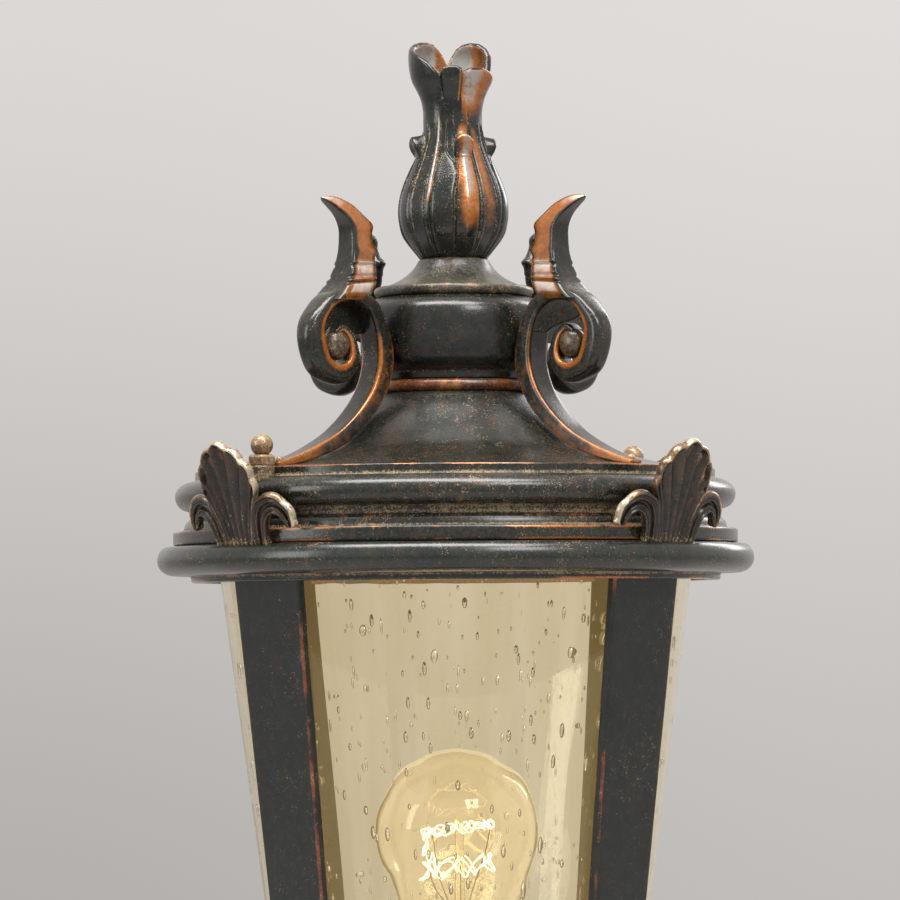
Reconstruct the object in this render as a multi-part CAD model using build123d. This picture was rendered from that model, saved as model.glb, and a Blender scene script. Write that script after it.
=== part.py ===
from build123d import *
import math
import os

# Post lantern, millimetres, +Z up, origin at the centre of the foot that slides over the post.
# Heights named ..._z are above that foot. Radii are from the lantern's own axis.

# Heights of the stack, foot to frame
fitter_h = 70.0
bowl_h = 32.0
gallery_h = 8.0
glass_h = 205.0
frame_z = fitter_h + bowl_h + gallery_h + glass_h
floor_z = frame_z - glass_h

# General
overrun = 2.0
wall = 3.0
post_r = 38.1
post_clearance = 0.4
running_clearance = 0.07
loose_clearance = 0.3

# Frame ring: flat plate below, rolled rim above. Its radii step in from the rim
frame_r = 109.4
frame_round_in = 3.8
frame_flat_in = 6.4
frame_plate_in = 12.4
frame_hole_in = 16.9
frame_round_r = frame_r - frame_round_in
frame_flat_r = frame_r - frame_flat_in
frame_plate_r = frame_r - frame_plate_in
frame_hole_r = frame_r - frame_hole_in
frame_plate_t = 2.5
frame_h = 13.2
frame_widest_share = 0.6

# Glass cone
glass_bottom_r = 59.0
glass_top_gap = 6.2
glass_top_r = frame_hole_r - glass_top_gap
glass_t = 3.0
glass_rise = 7.0
glass_gasket_t = 2.0
glass_gasket_overlap = 1.5
collar_gasket_t = 4.0

# Post fitter
fitter_bore_r = post_r + post_clearance
fitter_wall = 4.5
fitter_r = fitter_bore_r + fitter_wall
fitter_foot_bead = 3.5
fitter_foot_bead_h = 8.0
fitter_neck_bead = 4.5
fitter_neck_h = 12.0
fitter_web_t = 4.0
fitter_screw_in = 11.5
fitter_screw_ring_r = fitter_bore_r - fitter_screw_in
fitter_screw_r = 2.0
screw_head_r = 4.0
screw_head_h = 3.2
fitter_screw_count = 3
fitter_screw_angle = 60.0
cable_hole_r = 8.0

# Set screws that grip the post
set_screw_count = 3
set_screw_angle = 90.0
set_screw_r = 3.0
set_screw_z = 30.0
set_screw_travel = 3.0
set_screw_boss_r = 6.5
set_screw_boss_h = 3.5
set_screw_head_r = 5.5
set_screw_head_h = 4.5
set_screw_socket_r = 2.4
set_screw_socket_h = 2.5

# Gallery: the dished ring and floor that carries glass, bars and lampholder
gallery_out = 16.0
gallery_r = glass_bottom_r + gallery_out
gallery_floor_t = 3.0
gallery_inner_in = 7.0
gallery_inner_r = glass_bottom_r - gallery_inner_in
gallery_lip_t = 2.0
gallery_lip_h = 4.0
gallery_screw_out = 5.0
gallery_screw_ring_r = glass_bottom_r + gallery_screw_out
gallery_screw_r = 1.6
gallery_screw_head_r = 3.0
gallery_screw_head_h = 2.0
gallery_screw_count = 4

# Bowl under the gallery
bowl_neck_out = 1.0
bowl_neck_r = fitter_r + bowl_neck_out
bowl_rim_in = 5.0
bowl_rim_r = gallery_r - bowl_rim_in
bowl_flange_w = 12.0
bowl_flange_r = bowl_rim_r - bowl_flange_w
bowl_flange_t = 4.0
bowl_floor_t = 3.0
bowl_side_shares = [
    (0.0, 0.0), (0.02, 0.12), (0.2, 0.27), (0.58, 0.48), (0.92, 0.72), (1.04, 0.9), (1.0, 1.0)]

# Corner bars
corner_count = 4
corner_angle = 45.0
bar_t = 3.7
bar_top_out = 0.8
bar_bottom_out = 9.6
bar_top_r = frame_hole_r + bar_top_out
bar_bottom_r = glass_bottom_r + bar_bottom_out
bar_top_w = 33.0
bar_bottom_w = 23.0
bar_tab = 2.4

# Roof casting: radii step in from the skirt, heights stack up from the frame ring's top
cover_gap = 0.4
cover_skirt_in = 5.9
cover_skirt_r = frame_r - cover_skirt_in
cover_skirt_h = 5.1
cover_skirt_top = frame_h + cover_gap + cover_skirt_h
cover_wall_in = 10.1
cover_inner_r = cover_skirt_r - cover_wall_in
cover_cove_in = 6.9
cover_cove_r = cover_skirt_r - cover_cove_in
cover_cove_h = 7.5
cover_cove_top = cover_skirt_top + cover_cove_h
cover_torus_in = 0.7
cover_torus_r = cover_skirt_r - cover_torus_in
cover_torus_h = 10.8
cover_torus_top = cover_cove_top + cover_torus_h
cover_band_in = 8.2
cover_band_r = cover_skirt_r - cover_band_in
cover_band_h = 3.4
cover_band_top = cover_torus_top + cover_band_h
cover_neck_r = 31.0
cover_slope_h = 28.4
cover_top = cover_band_top + cover_slope_h
cover_slope_shares = [
    (1.0, 0.0), (0.74, 0.065), (0.46, 0.235), (0.3, 0.44), (0.16, 0.7), (0.05, 0.91), (0.0, 1.0)]
gasket_groove_in = 3.3
gasket_groove_r = cover_skirt_r - gasket_groove_in
gasket_w = 2.0
gasket_h = 1.6

# Studs and ball nuts that hold the roof down
stud_in = 7.1
stud_ring_r = cover_skirt_r - stud_in
stud_r = 2.0
stud_depth = 9.0
stud_hole_r = stud_r + loose_clearance
boss_r = 5.5
boss_rise = 0.2
boss_top = cover_band_top + boss_rise
stud_above = 5.4
stud_top = boss_top + stud_above
nut_across_flats = 9.0
nut_h = 4.0
ball_r = 4.0
ball_sink = 0.6
nut_bore_over = 0.6

# Turned pieces on the roof's neck
bead_out = 1.2
bead_r = cover_neck_r + bead_out
bead_h = 4.4
drum_foot_in = 2.2
drum_foot_r = bead_r - drum_foot_in
drum_swell = 4.4
drum_r = drum_foot_r + drum_swell
drum_h = 30.8
drum_shoulder_in = 1.4
drum_shoulder_r = drum_foot_r - drum_shoulder_in
drum_lip_h = 4.0
drum_lip_out = 0.8
drum_lip_r = drum_shoulder_r + drum_lip_out
drum_lip_waist_share = 0.6
drum_side_shares = [(0.0, 0.1), (0.55, 0.17), (0.93, 0.3), (1.0, 0.55), (0.8, 0.85), (0.0, 1.0)]
cone_base_in = 2.6
cone_base_r = drum_shoulder_r - cone_base_in
cone_top_r = 12.6
cone_h = 10.4
cone_flare_share = 0.22
rod_r = 4.0
rod_below = 11.0
rod_into_finial = 16.0
rod_nut_across_flats = 13.0
rod_nut_h = 6.0
rod_washer_r = 12.0
rod_washer_t = 1.6

# Finial
finial_h = 81.4
finial_foot_in = 0.2
finial_foot_r = cone_top_r - finial_foot_in
finial_belly_r = 19.2
finial_neck_r = 10.4
finial_flare_out = 5.0
finial_flare_r = finial_neck_r + finial_flare_out
finial_lobe_count = 8
finial_petal_count = 4
finial_side_shares = [(0.42, 0.09), (1.0, 0.25), (0.62, 0.47), (0.0, 0.62)]
finial_flare_share = 0.86
finial_notch_share = 0.74
finial_notch_w = 9.0
finial_groove_r = 1.5
finial_groove_share = 1.02
finial_cup_depth = 9.0
finial_cup_r = 9.0

# Scrolls, in the plane through the lantern's axis
scroll_w = 12.0
scroll_end_in = 4.8
scroll_end_r = cover_band_r - scroll_end_in
scroll_back_gap = 0.3
scroll_back_r = drum_r + scroll_back_gap
scroll_curl_h = 64.2
scroll_curl_top = cover_band_top + scroll_curl_h
scroll_core_r = 4.2
scroll_core_out = 1.0
scroll_leaf_w = 8.6
scroll_leaf_h = 33.6
scroll_leaf_sink = 10.5
scroll_leaf_top = scroll_curl_top + scroll_leaf_h
scroll_leaf_reach = 32.1
scroll_leaf_tip_r = scroll_back_r + scroll_leaf_reach
# Centre line of the strap: share of the reach out from the back, share of the height, share of half thickness
scroll_half_t = 3.5
scroll_line_shares = [
    (1.0, 0.012, 0.26), (0.84, 0.045, 0.46), (0.66, 0.095, 0.66), (0.46, 0.175, 0.84), (0.28, 0.295, 0.95),
    (0.145, 0.435, 1.0), (0.0627, 0.6, 1.0), (0.095, 0.775, 1.0), (0.21, 0.91, 0.98), (0.4, 0.955, 0.95),
    (0.6, 0.895, 0.93), (0.695, 0.755, 0.9), (0.665, 0.6, 0.88), (0.525, 0.512, 0.84), (0.385, 0.57, 0.78),
    (0.34, 0.7, 0.7), (0.42, 0.785, 0.55), (0.5, 0.76, 0.45)]
scroll_core_share = (0.478, 0.69)
# Leaf above the curl: share of the leaf's reach, share of its height
scroll_leaf_outer_shares = [
    (1.1, 0.02), (0.88, 0.15), (0.77, 0.25), (0.68, 0.42), (0.62, 0.62), (0.7, 0.8), (1.0, 0.975)]
scroll_leaf_inner_shares = [
    (0.82, 1.0), (0.62, 0.94), (0.47, 0.83), (0.3, 0.8), (0.19, 0.7), (0.24, 0.56), (0.12, 0.46),
    (0.22, 0.32), (0.2, 0.16), (0.26, 0.0)]
scroll_screw_r = 1.0
scroll_screw_ball_r = 1.5
scroll_screw_in = 2.6
scroll_screw_depth = 3.4

# Palmettes that stand on the frame ring at its corners
palm_w = 53.0
palm_h = 40.5
palm_t = 3.6
palm_lean_angle = 19.0
palm_gap = 0.35
palm_sink = 2.0
# Half of the outline from the foot's middle: share of half width, share of height
palm_tongue_shares = [(0.5, 0.0), (0.45, 0.16), (0.44, 0.3)]
palm_curl_shares = [
    (0.54, 0.2), (0.66, 0.13), (0.86, 0.12), (1.0, 0.25), (0.92, 0.43), (0.7, 0.545), (0.5, 0.53)]
palm_tip_shares = [(0.47, 0.6), (0.47, 0.74), (0.34, 0.88), (0.15, 0.975), (0.0, 1.0)]

# Lampholder and lamp
holder_saddle_t = 2.0
holder_h = 60.0
holder_r = 20.0
holder_base_r = 17.0
holder_wall = 4.6
holder_floor_t = 4.0
holder_chamber_r = 12.5
holder_web_t = 4.0
rivet_r = 1.5
rivet_out = 9.0
shell_floor_r = 6.5
cap_r = 13.2
cap_h = 25.0
cap_t = 0.6
shell_t = 0.9
lamp_r = 30.0
lamp_h = 107.0
lamp_neck_r = 14.4
lamp_glass_t = 1.0
lamp_turn_angle = -32.0
lamp_shoulder_share = 0.31
lamp_shoulder_r_share = 0.32
lamp_neck_share = 0.12
lamp_above_holder = 2.0
contact_r = 4.5
contact_h = 2.0
contact_gap = 0.3
cage_r = 14.5
cage_wire_r = 0.45
cage_joint_share = 1.2
cage_point_count = 16
cage_top_share = 0.6875
cage_low_share = 0.3
stem_r = 6.0
stem_tip_r = 2.0
support_r = 0.5
nipple_r = 5.0
nipple_bore_r = 3.4
nipple_below = 10.0
nipple_above = 8.0
locknut_across_flats = 16.0
locknut_h = 4.0

# Wiring inside the bowl
block_l = 24.0
block_w = 18.0
block_h = 15.0
block_round = 2.4
block_x = 13.0
block_screw_r = 2.0
block_screw_h = 1.2
block_pitch = 9.0
lead_r = 0.9
lead_spread = 1.6
lead_bend_r = 3.0
lead_end_gap = 0.15
grommet_lip = 1.6
grommet_wall = 2.4
earth_screw_y = 30.0
earth_tag_r = 4.5
earth_tag_t = 1.0


def save(shape, name):
    """One sub-part, one file."""
    export_step(shape, os.path.join("parts", name + ".step"))


def turned(*edges):
    """A closed outline of edges in the plane of radius and height, turned about the lantern's axis."""
    return revolve(Plane.XZ * make_face(list(edges)), Axis.Z)


def ring(outer, inner, low, high):
    """A plain ring between two heights."""
    tube = Pos(0, 0, low) * Cylinder(outer, high - low, align=(Align.CENTER, Align.CENTER, Align.MIN))
    hole = Pos(0, 0, low - overrun) * Cylinder(inner, high - low + 2 * overrun,
                                               align=(Align.CENTER, Align.CENTER, Align.MIN))
    return tube - hole


def post(r, low, high, at=(0, 0)):
    """A plain upright cylinder."""
    return Pos(at[0], at[1], low) * Cylinder(r, high - low, align=(Align.CENTER, Align.CENTER, Align.MIN))


def hexagon(across_flats, low, high, at=(0, 0)):
    """An upright six-sided prism."""
    flat = RegularPolygon(across_flats / 2, 6, major_radius=False)
    return Pos(at[0], at[1], low) * extrude(flat, high - low)


def on_circle(r, count, start=0.0):
    """Places evenly spaced on a circle."""
    turns = [math.radians(start + 360 * i / count) for i in range(count)]
    return [(r * math.cos(t), r * math.sin(t)) for t in turns]


def corners():
    """The turn of each of the four corners about the axis, with its name."""
    names = ["back_right", "back_left", "front_left", "front_right"]
    return [(name, corner_angle + 360 / corner_count * i) for i, name in enumerate(names)]


def group(solids):
    """Separate solids that share one node."""
    return Compound(children=list(solids))


# Post fitter and its screws

def fitter():
    web_low = fitter_h - fitter_web_t
    foot_r = fitter_r + fitter_foot_bead
    neck_r = fitter_r + fitter_neck_bead
    neck_low = fitter_h - fitter_neck_h
    body = turned(
        Polyline((cable_hole_r, web_low), (fitter_bore_r, web_low), (fitter_bore_r, 0), (foot_r, 0)),
        ThreePointArc((foot_r, 0), (foot_r + fitter_foot_bead / 2, fitter_foot_bead_h / 2),
                      (foot_r, fitter_foot_bead_h)),
        Polyline((foot_r, fitter_foot_bead_h), (fitter_r, fitter_foot_bead_h), (fitter_r, neck_low)),
        ThreePointArc((fitter_r, neck_low), (neck_r, neck_low + fitter_neck_h / 2), (bowl_neck_r, fitter_h)),
        Polyline((bowl_neck_r, fitter_h), (cable_hole_r, fitter_h), (cable_hole_r, web_low)))
    boss_out = fitter_r - fitter_bore_r + set_screw_boss_h
    boss = set_screw_plane(fitter_bore_r) * extrude(Circle(set_screw_boss_r), boss_out)
    boss -= post(fitter_bore_r, -overrun, web_low)
    hole_r = set_screw_r + running_clearance
    hole = set_screw_plane(fitter_bore_r - overrun) * extrude(Circle(hole_r), fitter_r)
    for turn in set_screw_turns():
        body += Rot(0, 0, turn) * boss
    for turn in set_screw_turns():
        body -= Rot(0, 0, turn) * hole
    for at in on_circle(fitter_screw_ring_r, fitter_screw_count, fitter_screw_angle):
        body -= post(fitter_screw_r, web_low - overrun, fitter_h + overrun, at)
    recess_r = cable_hole_r + grommet_lip + running_clearance
    return body - post(recess_r, web_low - overrun, web_low + grommet_lip + loose_clearance)


def set_screw_turns():
    return [set_screw_angle + 360 / set_screw_count * i for i in range(set_screw_count)]


def set_screw_plane(r):
    """A plane square to the X axis at the set screws' height, facing outwards."""
    return Plane(origin=(r, 0, set_screw_z), x_dir=(0, 1, 0), z_dir=(1, 0, 0))


def set_screw(turn):
    head_in = fitter_r + set_screw_boss_h + set_screw_travel
    shank = extrude(Circle(set_screw_r), head_in - fitter_bore_r)
    head = extrude(Circle(set_screw_head_r), set_screw_head_h)
    head -= Pos(0, 0, set_screw_head_h - set_screw_socket_h) * extrude(
        RegularPolygon(set_screw_socket_r, 6), set_screw_socket_h + overrun)
    head = Pos(0, 0, head_in - fitter_bore_r) * head
    return Rot(0, 0, turn) * (set_screw_plane(fitter_bore_r) * (shank + head))


def fitter_screws():
    """Screws with their heads on the bowl's floor, threaded into the fitter's web."""
    low = fitter_h - fitter_web_t + loose_clearance
    top = fitter_h + bowl_floor_t
    screws = []
    for at in on_circle(fitter_screw_ring_r, fitter_screw_count, fitter_screw_angle):
        screws.append(post(fitter_screw_r, low, top, at) + post(screw_head_r, top, top + screw_head_h, at))
    return group(screws)


# Bowl, gallery and their screws

def bowl_edge(inset):
    """The bowl's side as a curve, moved in towards the axis by an inset."""
    swell = bowl_rim_r - bowl_neck_r
    points = [(bowl_neck_r + swell * a - inset, fitter_h + bowl_h * b) for a, b in bowl_side_shares]
    return Spline(*points), points


def bowl():
    outer, points = bowl_edge(0)
    floor_top = fitter_h + bowl_floor_t
    flange_low = fitter_h + bowl_h - bowl_flange_t
    body = turned(outer, Polyline(points[-1], (0, points[-1][1]), (0, points[0][1]), points[0]))
    inner, inner_points = bowl_edge(wall)
    top_point = inner_points[-1]
    low_point = inner_points[0]
    hollow = turned(inner, Polyline(top_point, (0, top_point[1]), (0, low_point[1]), low_point))
    hollow &= ring(bowl_rim_r, 0, floor_top, flange_low)
    body -= hollow
    body -= post(bowl_flange_r, flange_low - overrun, fitter_h + bowl_h + overrun)
    body -= post(cable_hole_r, fitter_h - overrun, floor_top + overrun)
    for at in on_circle(fitter_screw_ring_r, fitter_screw_count, fitter_screw_angle):
        body -= post(fitter_screw_r, fitter_h - overrun, floor_top + overrun, at)
    for at in on_circle(gallery_screw_ring_r, gallery_screw_count):
        body -= post(gallery_screw_r, flange_low - overrun, fitter_h + bowl_h + overrun, at)
    body -= post(fitter_screw_r, fitter_h - overrun, floor_top + overrun, (0, earth_screw_y))
    return body


def gallery():
    low = floor_z - gallery_h
    floor_low = floor_z - gallery_floor_t
    seat_r = glass_bottom_r + glass_gasket_overlap
    round_r = gallery_r - gallery_h / 2
    body = turned(
        Polyline((nipple_r, floor_low), (gallery_inner_r, floor_low), (gallery_inner_r, low), (round_r, low)),
        ThreePointArc((round_r, low), (gallery_r, low + gallery_h / 2), (round_r, floor_z)),
        Polyline((round_r, floor_z), (nipple_r, floor_z), (nipple_r, floor_low)))
    body += ring(seat_r + gallery_lip_t, seat_r, floor_z - gallery_floor_t, floor_z + gallery_lip_h)
    for at in on_circle(gallery_screw_ring_r, gallery_screw_count):
        body -= post(gallery_screw_r, low - overrun, floor_z + gallery_lip_h, at)
        body -= post(gallery_screw_head_r + loose_clearance, floor_z, floor_z + gallery_lip_h + overrun, at)
    for name, turn in corners():
        body -= bar(turn)
    return body


def gallery_screws():
    screws = []
    for at in on_circle(gallery_screw_ring_r, gallery_screw_count):
        head = post(gallery_screw_head_r, floor_z, floor_z + gallery_screw_head_h, at)
        screws.append(head + post(gallery_screw_r, fitter_h + bowl_h - bowl_flange_t, floor_z, at))
    return group(screws)


# Glass and its two gaskets

def glass_outer_r(z):
    """Outer radius of the glass cone at a height."""
    return glass_bottom_r + (glass_top_r - glass_bottom_r) * (z - floor_z) / glass_h


def glass():
    low = floor_z + glass_gasket_t
    high = frame_z + glass_rise
    low_r = glass_outer_r(low)
    high_r = glass_outer_r(high)
    return turned(Polyline((low_r, low), (high_r, high), (high_r - glass_t, high), (low_r - glass_t, low),
                           (low_r, low)))


def glass_gasket():
    outer = glass_bottom_r + glass_gasket_overlap
    return ring(outer, glass_bottom_r - glass_t - glass_gasket_overlap, floor_z, floor_z + glass_gasket_t)


def centring_ring():
    """Rubber ring between the top of the glass and the frame."""
    low = frame_z + frame_plate_t
    high = low + collar_gasket_t
    outer = frame_hole_r
    low_r = glass_outer_r(low)
    high_r = glass_outer_r(high)
    return turned(Polyline((low_r, low), (outer, low), (outer, high), (high_r, high), (low_r, low)))


# Corner bars

def bar(turn):
    """A flat bar that leans outwards and widens upwards, with a tab at each end."""
    low = floor_z - bar_tab
    high = frame_z + bar_tab
    lean = (bar_top_r - bar_bottom_r) / glass_h
    widen = (bar_top_w - bar_bottom_w) / glass_h
    faces = []
    for z in (low, high):
        r = bar_bottom_r + lean * (z - floor_z)
        w = bar_bottom_w + widen * (z - floor_z)
        faces.append(Pos(r, 0, z) * Rectangle(bar_t, w))
    return Rot(0, 0, turn) * loft(faces, ruled=True)


# Frame ring with its studs

def frame_section():
    """The frame ring before its slots and holes."""
    plate_top = frame_z + frame_plate_t
    top = frame_z + frame_h
    widest_z = frame_z + frame_h * frame_widest_share
    return turned(
        Polyline((frame_hole_r, frame_z), (frame_plate_r, frame_z), (frame_plate_r, plate_top),
                 (frame_flat_r, plate_top)),
        ThreePointArc((frame_flat_r, plate_top), (frame_r, widest_z), (frame_round_r, top)),
        Polyline((frame_round_r, top), (frame_hole_r, top), (frame_hole_r, frame_z)))


def frame_ring():
    top = frame_z + frame_h
    body = frame_section()
    for name, turn in corners():
        body -= bar(turn)
    for at in stud_places():
        body -= post(stud_r, top - stud_depth, top + overrun, at)
    return body


def stud_places():
    """The front left and back right corners."""
    return on_circle(stud_ring_r, 2, corner_angle)


def studs():
    low = frame_z + frame_h - stud_depth
    return group(post(stud_r, low, frame_z + stud_top, at) for at in stud_places())


# Roof casting

def cover_slope():
    """The roof's swept slope as points, edge to neck."""
    rise = cover_top - cover_band_top
    run = cover_band_r - cover_neck_r
    return [(cover_neck_r + run * a, frame_z + cover_band_top + rise * b) for a, b in cover_slope_shares]


def cover_outside():
    """The roof as a solid, before it is hollowed."""
    low = frame_z + frame_h + cover_gap
    slope = cover_slope()
    torus_mid = (cover_cove_top + cover_torus_top) / 2
    cove_mid = (cover_skirt_top + cover_cove_top) / 2
    return turned(
        Polyline((0, low), (cover_skirt_r, low), (cover_skirt_r, frame_z + cover_skirt_top),
                 (cover_cove_r + wall, frame_z + cover_skirt_top)),
        ThreePointArc((cover_cove_r + wall, frame_z + cover_skirt_top), (cover_cove_r, frame_z + cove_mid),
                      (cover_cove_r + wall / 2, frame_z + cover_cove_top)),
        ThreePointArc((cover_cove_r + wall / 2, frame_z + cover_cove_top),
                      (cover_torus_r, frame_z + torus_mid), (cover_band_r, frame_z + cover_torus_top)),
        Line((cover_band_r, frame_z + cover_torus_top), slope[0]),
        Spline(*slope),
        Polyline(slope[-1], (0, slope[-1][1]), (0, low)))


def cover_hollow():
    """The space inside the roof."""
    low = frame_z + frame_h + cover_gap
    slope = [(r - wall / 2, z - wall) for r, z in cover_slope()]
    return turned(
        Polyline((0, low - overrun), (cover_inner_r, low - overrun), (cover_inner_r, slope[0][1]), slope[0]),
        Spline(*slope),
        Polyline(slope[-1], (0, slope[-1][1]), (0, low - overrun)))


def cover():
    low = frame_z + frame_h + cover_gap
    body = cover_outside() - cover_hollow()
    for at in stud_places():
        body += post(boss_r, low, frame_z + boss_top, at)
        body -= post(stud_hole_r, low - overrun, frame_z + boss_top + overrun, at)
        body -= post(boss_r, frame_z + boss_top, frame_z + boss_top + overrun, at)
    body -= ring(gasket_groove_r + gasket_w, gasket_groove_r, low - overrun, frame_z + frame_h + gasket_h)
    body -= post(rod_r + loose_clearance, frame_z + cover_band_top, frame_z + cover_top + overrun)
    for name, turn in corners():
        body -= scroll_screw(turn, running_clearance)
    return body


def cover_gasket():
    low = frame_z + frame_h
    return ring(gasket_groove_r + gasket_w, gasket_groove_r, low, low + gasket_h)


# Ball nuts

def ball_nut(at):
    low = frame_z + boss_top
    hexed = hexagon(nut_across_flats, low, low + nut_h, at)
    ball = Pos(at[0], at[1], low + nut_h + ball_r - ball_sink) * Sphere(ball_r)
    bore_top = frame_z + stud_top + nut_bore_over
    return hexed + ball - post(stud_r + running_clearance, low - overrun, bore_top, at)


# Turned pieces on the neck, clamped by one rod

def bead():
    low = frame_z + cover_top
    straight = bead_r - bead_h / 2
    hole = rod_r + loose_clearance
    return turned(
        Line((hole, low), (straight, low)),
        ThreePointArc((straight, low), (bead_r, low + bead_h / 2), (straight, low + bead_h)),
        Polyline((straight, low + bead_h), (hole, low + bead_h), (hole, low)))


def drum():
    low = frame_z + cover_top + bead_h
    high = low + drum_h
    hole = rod_r + loose_clearance
    side = [(drum_foot_r + (drum_r - drum_foot_r) * a, low + drum_h * b) for a, b in drum_side_shares]
    side[-1] = (drum_shoulder_r, high)
    return turned(
        Polyline((hole, low), (drum_foot_r, low), side[0]),
        Spline(*side),
        Polyline(side[-1], (hole, high), (hole, low)))


def cone():
    low = frame_z + cover_top + bead_h + drum_h
    lip = low + drum_lip_h
    high = lip + cone_h
    hole = rod_r + loose_clearance
    flare = (cone_base_r + (cone_top_r - cone_base_r) * 2 * cone_flare_share, lip + cone_h * cone_flare_share)
    foot_r = drum_shoulder_r - drum_lip_h / 2
    waist_r = drum_shoulder_r - drum_lip_h * drum_lip_waist_share
    return turned(
        Line((hole, low), (foot_r, low)),
        ThreePointArc((foot_r, low), (waist_r, low + drum_lip_h / 2), (drum_lip_r, lip)),
        Polyline((drum_lip_r, lip), (cone_base_r, lip), flare, (cone_top_r, high), (hole, high), (hole, low)))


def cone_top_z():
    return frame_z + cover_top + bead_h + drum_h + drum_lip_h + cone_h


def rod():
    low = frame_z + cover_top - wall - rod_below
    return post(rod_r, low, cone_top_z() + rod_into_finial)


def rod_nut():
    under = frame_z + cover_top - wall - rod_washer_t
    nut = hexagon(rod_nut_across_flats, under - rod_nut_h, under)
    return nut - post(rod_r, under - rod_nut_h - overrun, under + overrun)


def rod_washer():
    under = frame_z + cover_top - wall
    return ring(rod_washer_r, rod_r + loose_clearance, under - rod_washer_t, under)


# Finial

def finial():
    low = cone_top_z()
    neck = finial_neck_r
    belly = [(neck + (finial_belly_r - neck) * a, low + finial_h * b) for a, b in finial_side_shares]
    top = low + finial_h
    flare_z = low + finial_h * finial_flare_share
    body = turned(
        Line((0, low), (finial_foot_r, low)),
        Spline((finial_foot_r, low), *belly),
        Spline(belly[-1], (finial_flare_r, flare_z), (finial_flare_r - wall, top)),
        Polyline((finial_flare_r - wall, top), (0, top), (0, low)))
    groove_ring_r = finial_belly_r * finial_groove_share
    for x, y in on_circle(groove_ring_r, finial_lobe_count, 360 / finial_lobe_count / 2):
        body -= post(finial_groove_r, low - overrun, belly[2][1], (x, y))
    body -= Pos(0, 0, top) * Cone(finial_cup_r / 2, finial_cup_r, 2 * finial_cup_depth)
    notch_low = low + finial_h * finial_notch_share
    for i in range(finial_petal_count):
        slot = Polyline((0, notch_low), (finial_notch_w / 2, top + overrun),
                        (-finial_notch_w / 2, top + overrun), (0, notch_low))
        cut = Plane(origin=(finial_neck_r / 2, 0, 0), x_dir=(0, 1, 0), z_dir=(1, 0, 0)) * make_face([slot])
        body -= Rot(0, 0, 360 / finial_petal_count * i) * extrude(cut, finial_flare_r)
    body -= post(rod_r, low - overrun, low + rod_into_finial)
    return body


# Scrolls

def scroll_point(across_share, up_share):
    """A point of the scroll's own plane from shares of its reach and height."""
    low = frame_z + cover_band_top
    reach = scroll_end_r - scroll_back_r
    height = frame_z + scroll_curl_top - low
    return (scroll_back_r + reach * across_share, low + height * up_share)


def scroll_strap():
    """The strap's outline: its centre line moved to each side by half its thickness."""
    line = [scroll_point(a, b) for a, b, t in scroll_line_shares]
    half = [scroll_half_t * t for a, b, t in scroll_line_shares]
    last = len(line) - 1
    near = []
    far = []
    for i, (x, z) in enumerate(line):
        before = line[max(i - 1, 0)]
        after = line[min(i + 1, last)]
        dx = after[0] - before[0]
        dz = after[1] - before[1]
        length = math.hypot(dx, dz)
        near.append((x + dz / length * half[i], z - dx / length * half[i]))
        far.append((x - dz / length * half[i], z + dx / length * half[i]))
    return make_face([Spline(*near), Line(near[-1], far[-1]), Spline(*far), Line(far[0], near[0])])


def scroll_leaf():
    """The leaf's outline, rising from the top of the curl."""
    base = scroll_point(scroll_core_share[0], 1.0)
    reach = scroll_leaf_tip_r - scroll_back_r
    low = frame_z + scroll_curl_top - scroll_leaf_sink
    height = frame_z + scroll_leaf_top - low
    outer = [(scroll_back_r + reach * a, low + height * b) for a, b in scroll_leaf_outer_shares]
    inner = [(scroll_back_r + reach * a, low + height * b) for a, b in scroll_leaf_inner_shares]
    return make_face([Spline(*outer), Line(outer[-1], inner[0]), Spline(*inner), Line(inner[-1], outer[0])])


def scroll():
    """One scroll over the X axis: strap, curl with its core, and the leaf above, cut to lie on the roof."""
    strap = extrude(Plane.XZ * scroll_strap(), scroll_w / 2, both=True)
    core_at = scroll_point(*scroll_core_share)
    core_half_w = scroll_w / 2 + scroll_core_out
    core = extrude(Plane.XZ * (Pos(core_at[0], core_at[1]) * Circle(scroll_core_r)), core_half_w, both=True)
    leaf = extrude(Plane.XZ * scroll_leaf(), scroll_leaf_w / 2, both=True)
    return strap + core + leaf - cover_outside() - scroll_screw(0)


def scroll_screw(turn, clearance=0):
    """Round-headed screw through the strap's end into the roof, or its hole when a clearance is given."""
    r = scroll_end_r - scroll_screw_in
    low = frame_z + cover_band_top - scroll_screw_depth - clearance
    top = frame_z + cover_band_top + scroll_half_t * scroll_line_shares[0][2]
    screw = post(scroll_screw_r + clearance, low, top + scroll_screw_ball_r, (r, 0))
    screw += Pos(r, 0, top + scroll_screw_ball_r) * Sphere(scroll_screw_ball_r + clearance)
    return Rot(0, 0, turn) * screw


# Palmettes

def palm_outline():
    """Tongue and two side curls, mirrored about the middle."""
    half = palm_w / 2
    right = [(half * a, palm_h * b) for a, b in palm_tongue_shares]
    curl = [(half * a, palm_h * b) for a, b in palm_curl_shares]
    tip = [(half * a, palm_h * b) for a, b in palm_tip_shares]
    edges = []
    for side in (1, -1):
        edges.append(Spline(*[(side * x, y) for x, y in right]))
        edges.append(Line((side * right[-1][0], right[-1][1]), (side * curl[0][0], curl[0][1])))
        edges.append(Spline(*[(side * x, y) for x, y in curl]))
        edges.append(Line((side * curl[-1][0], curl[-1][1]), (side * tip[0][0], tip[0][1])))
        edges.append(Spline(*[(side * x, y) for x, y in tip]))
    edges.append(Line((right[0][0], 0), (-right[0][0], 0)))
    return make_face(edges)


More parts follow.
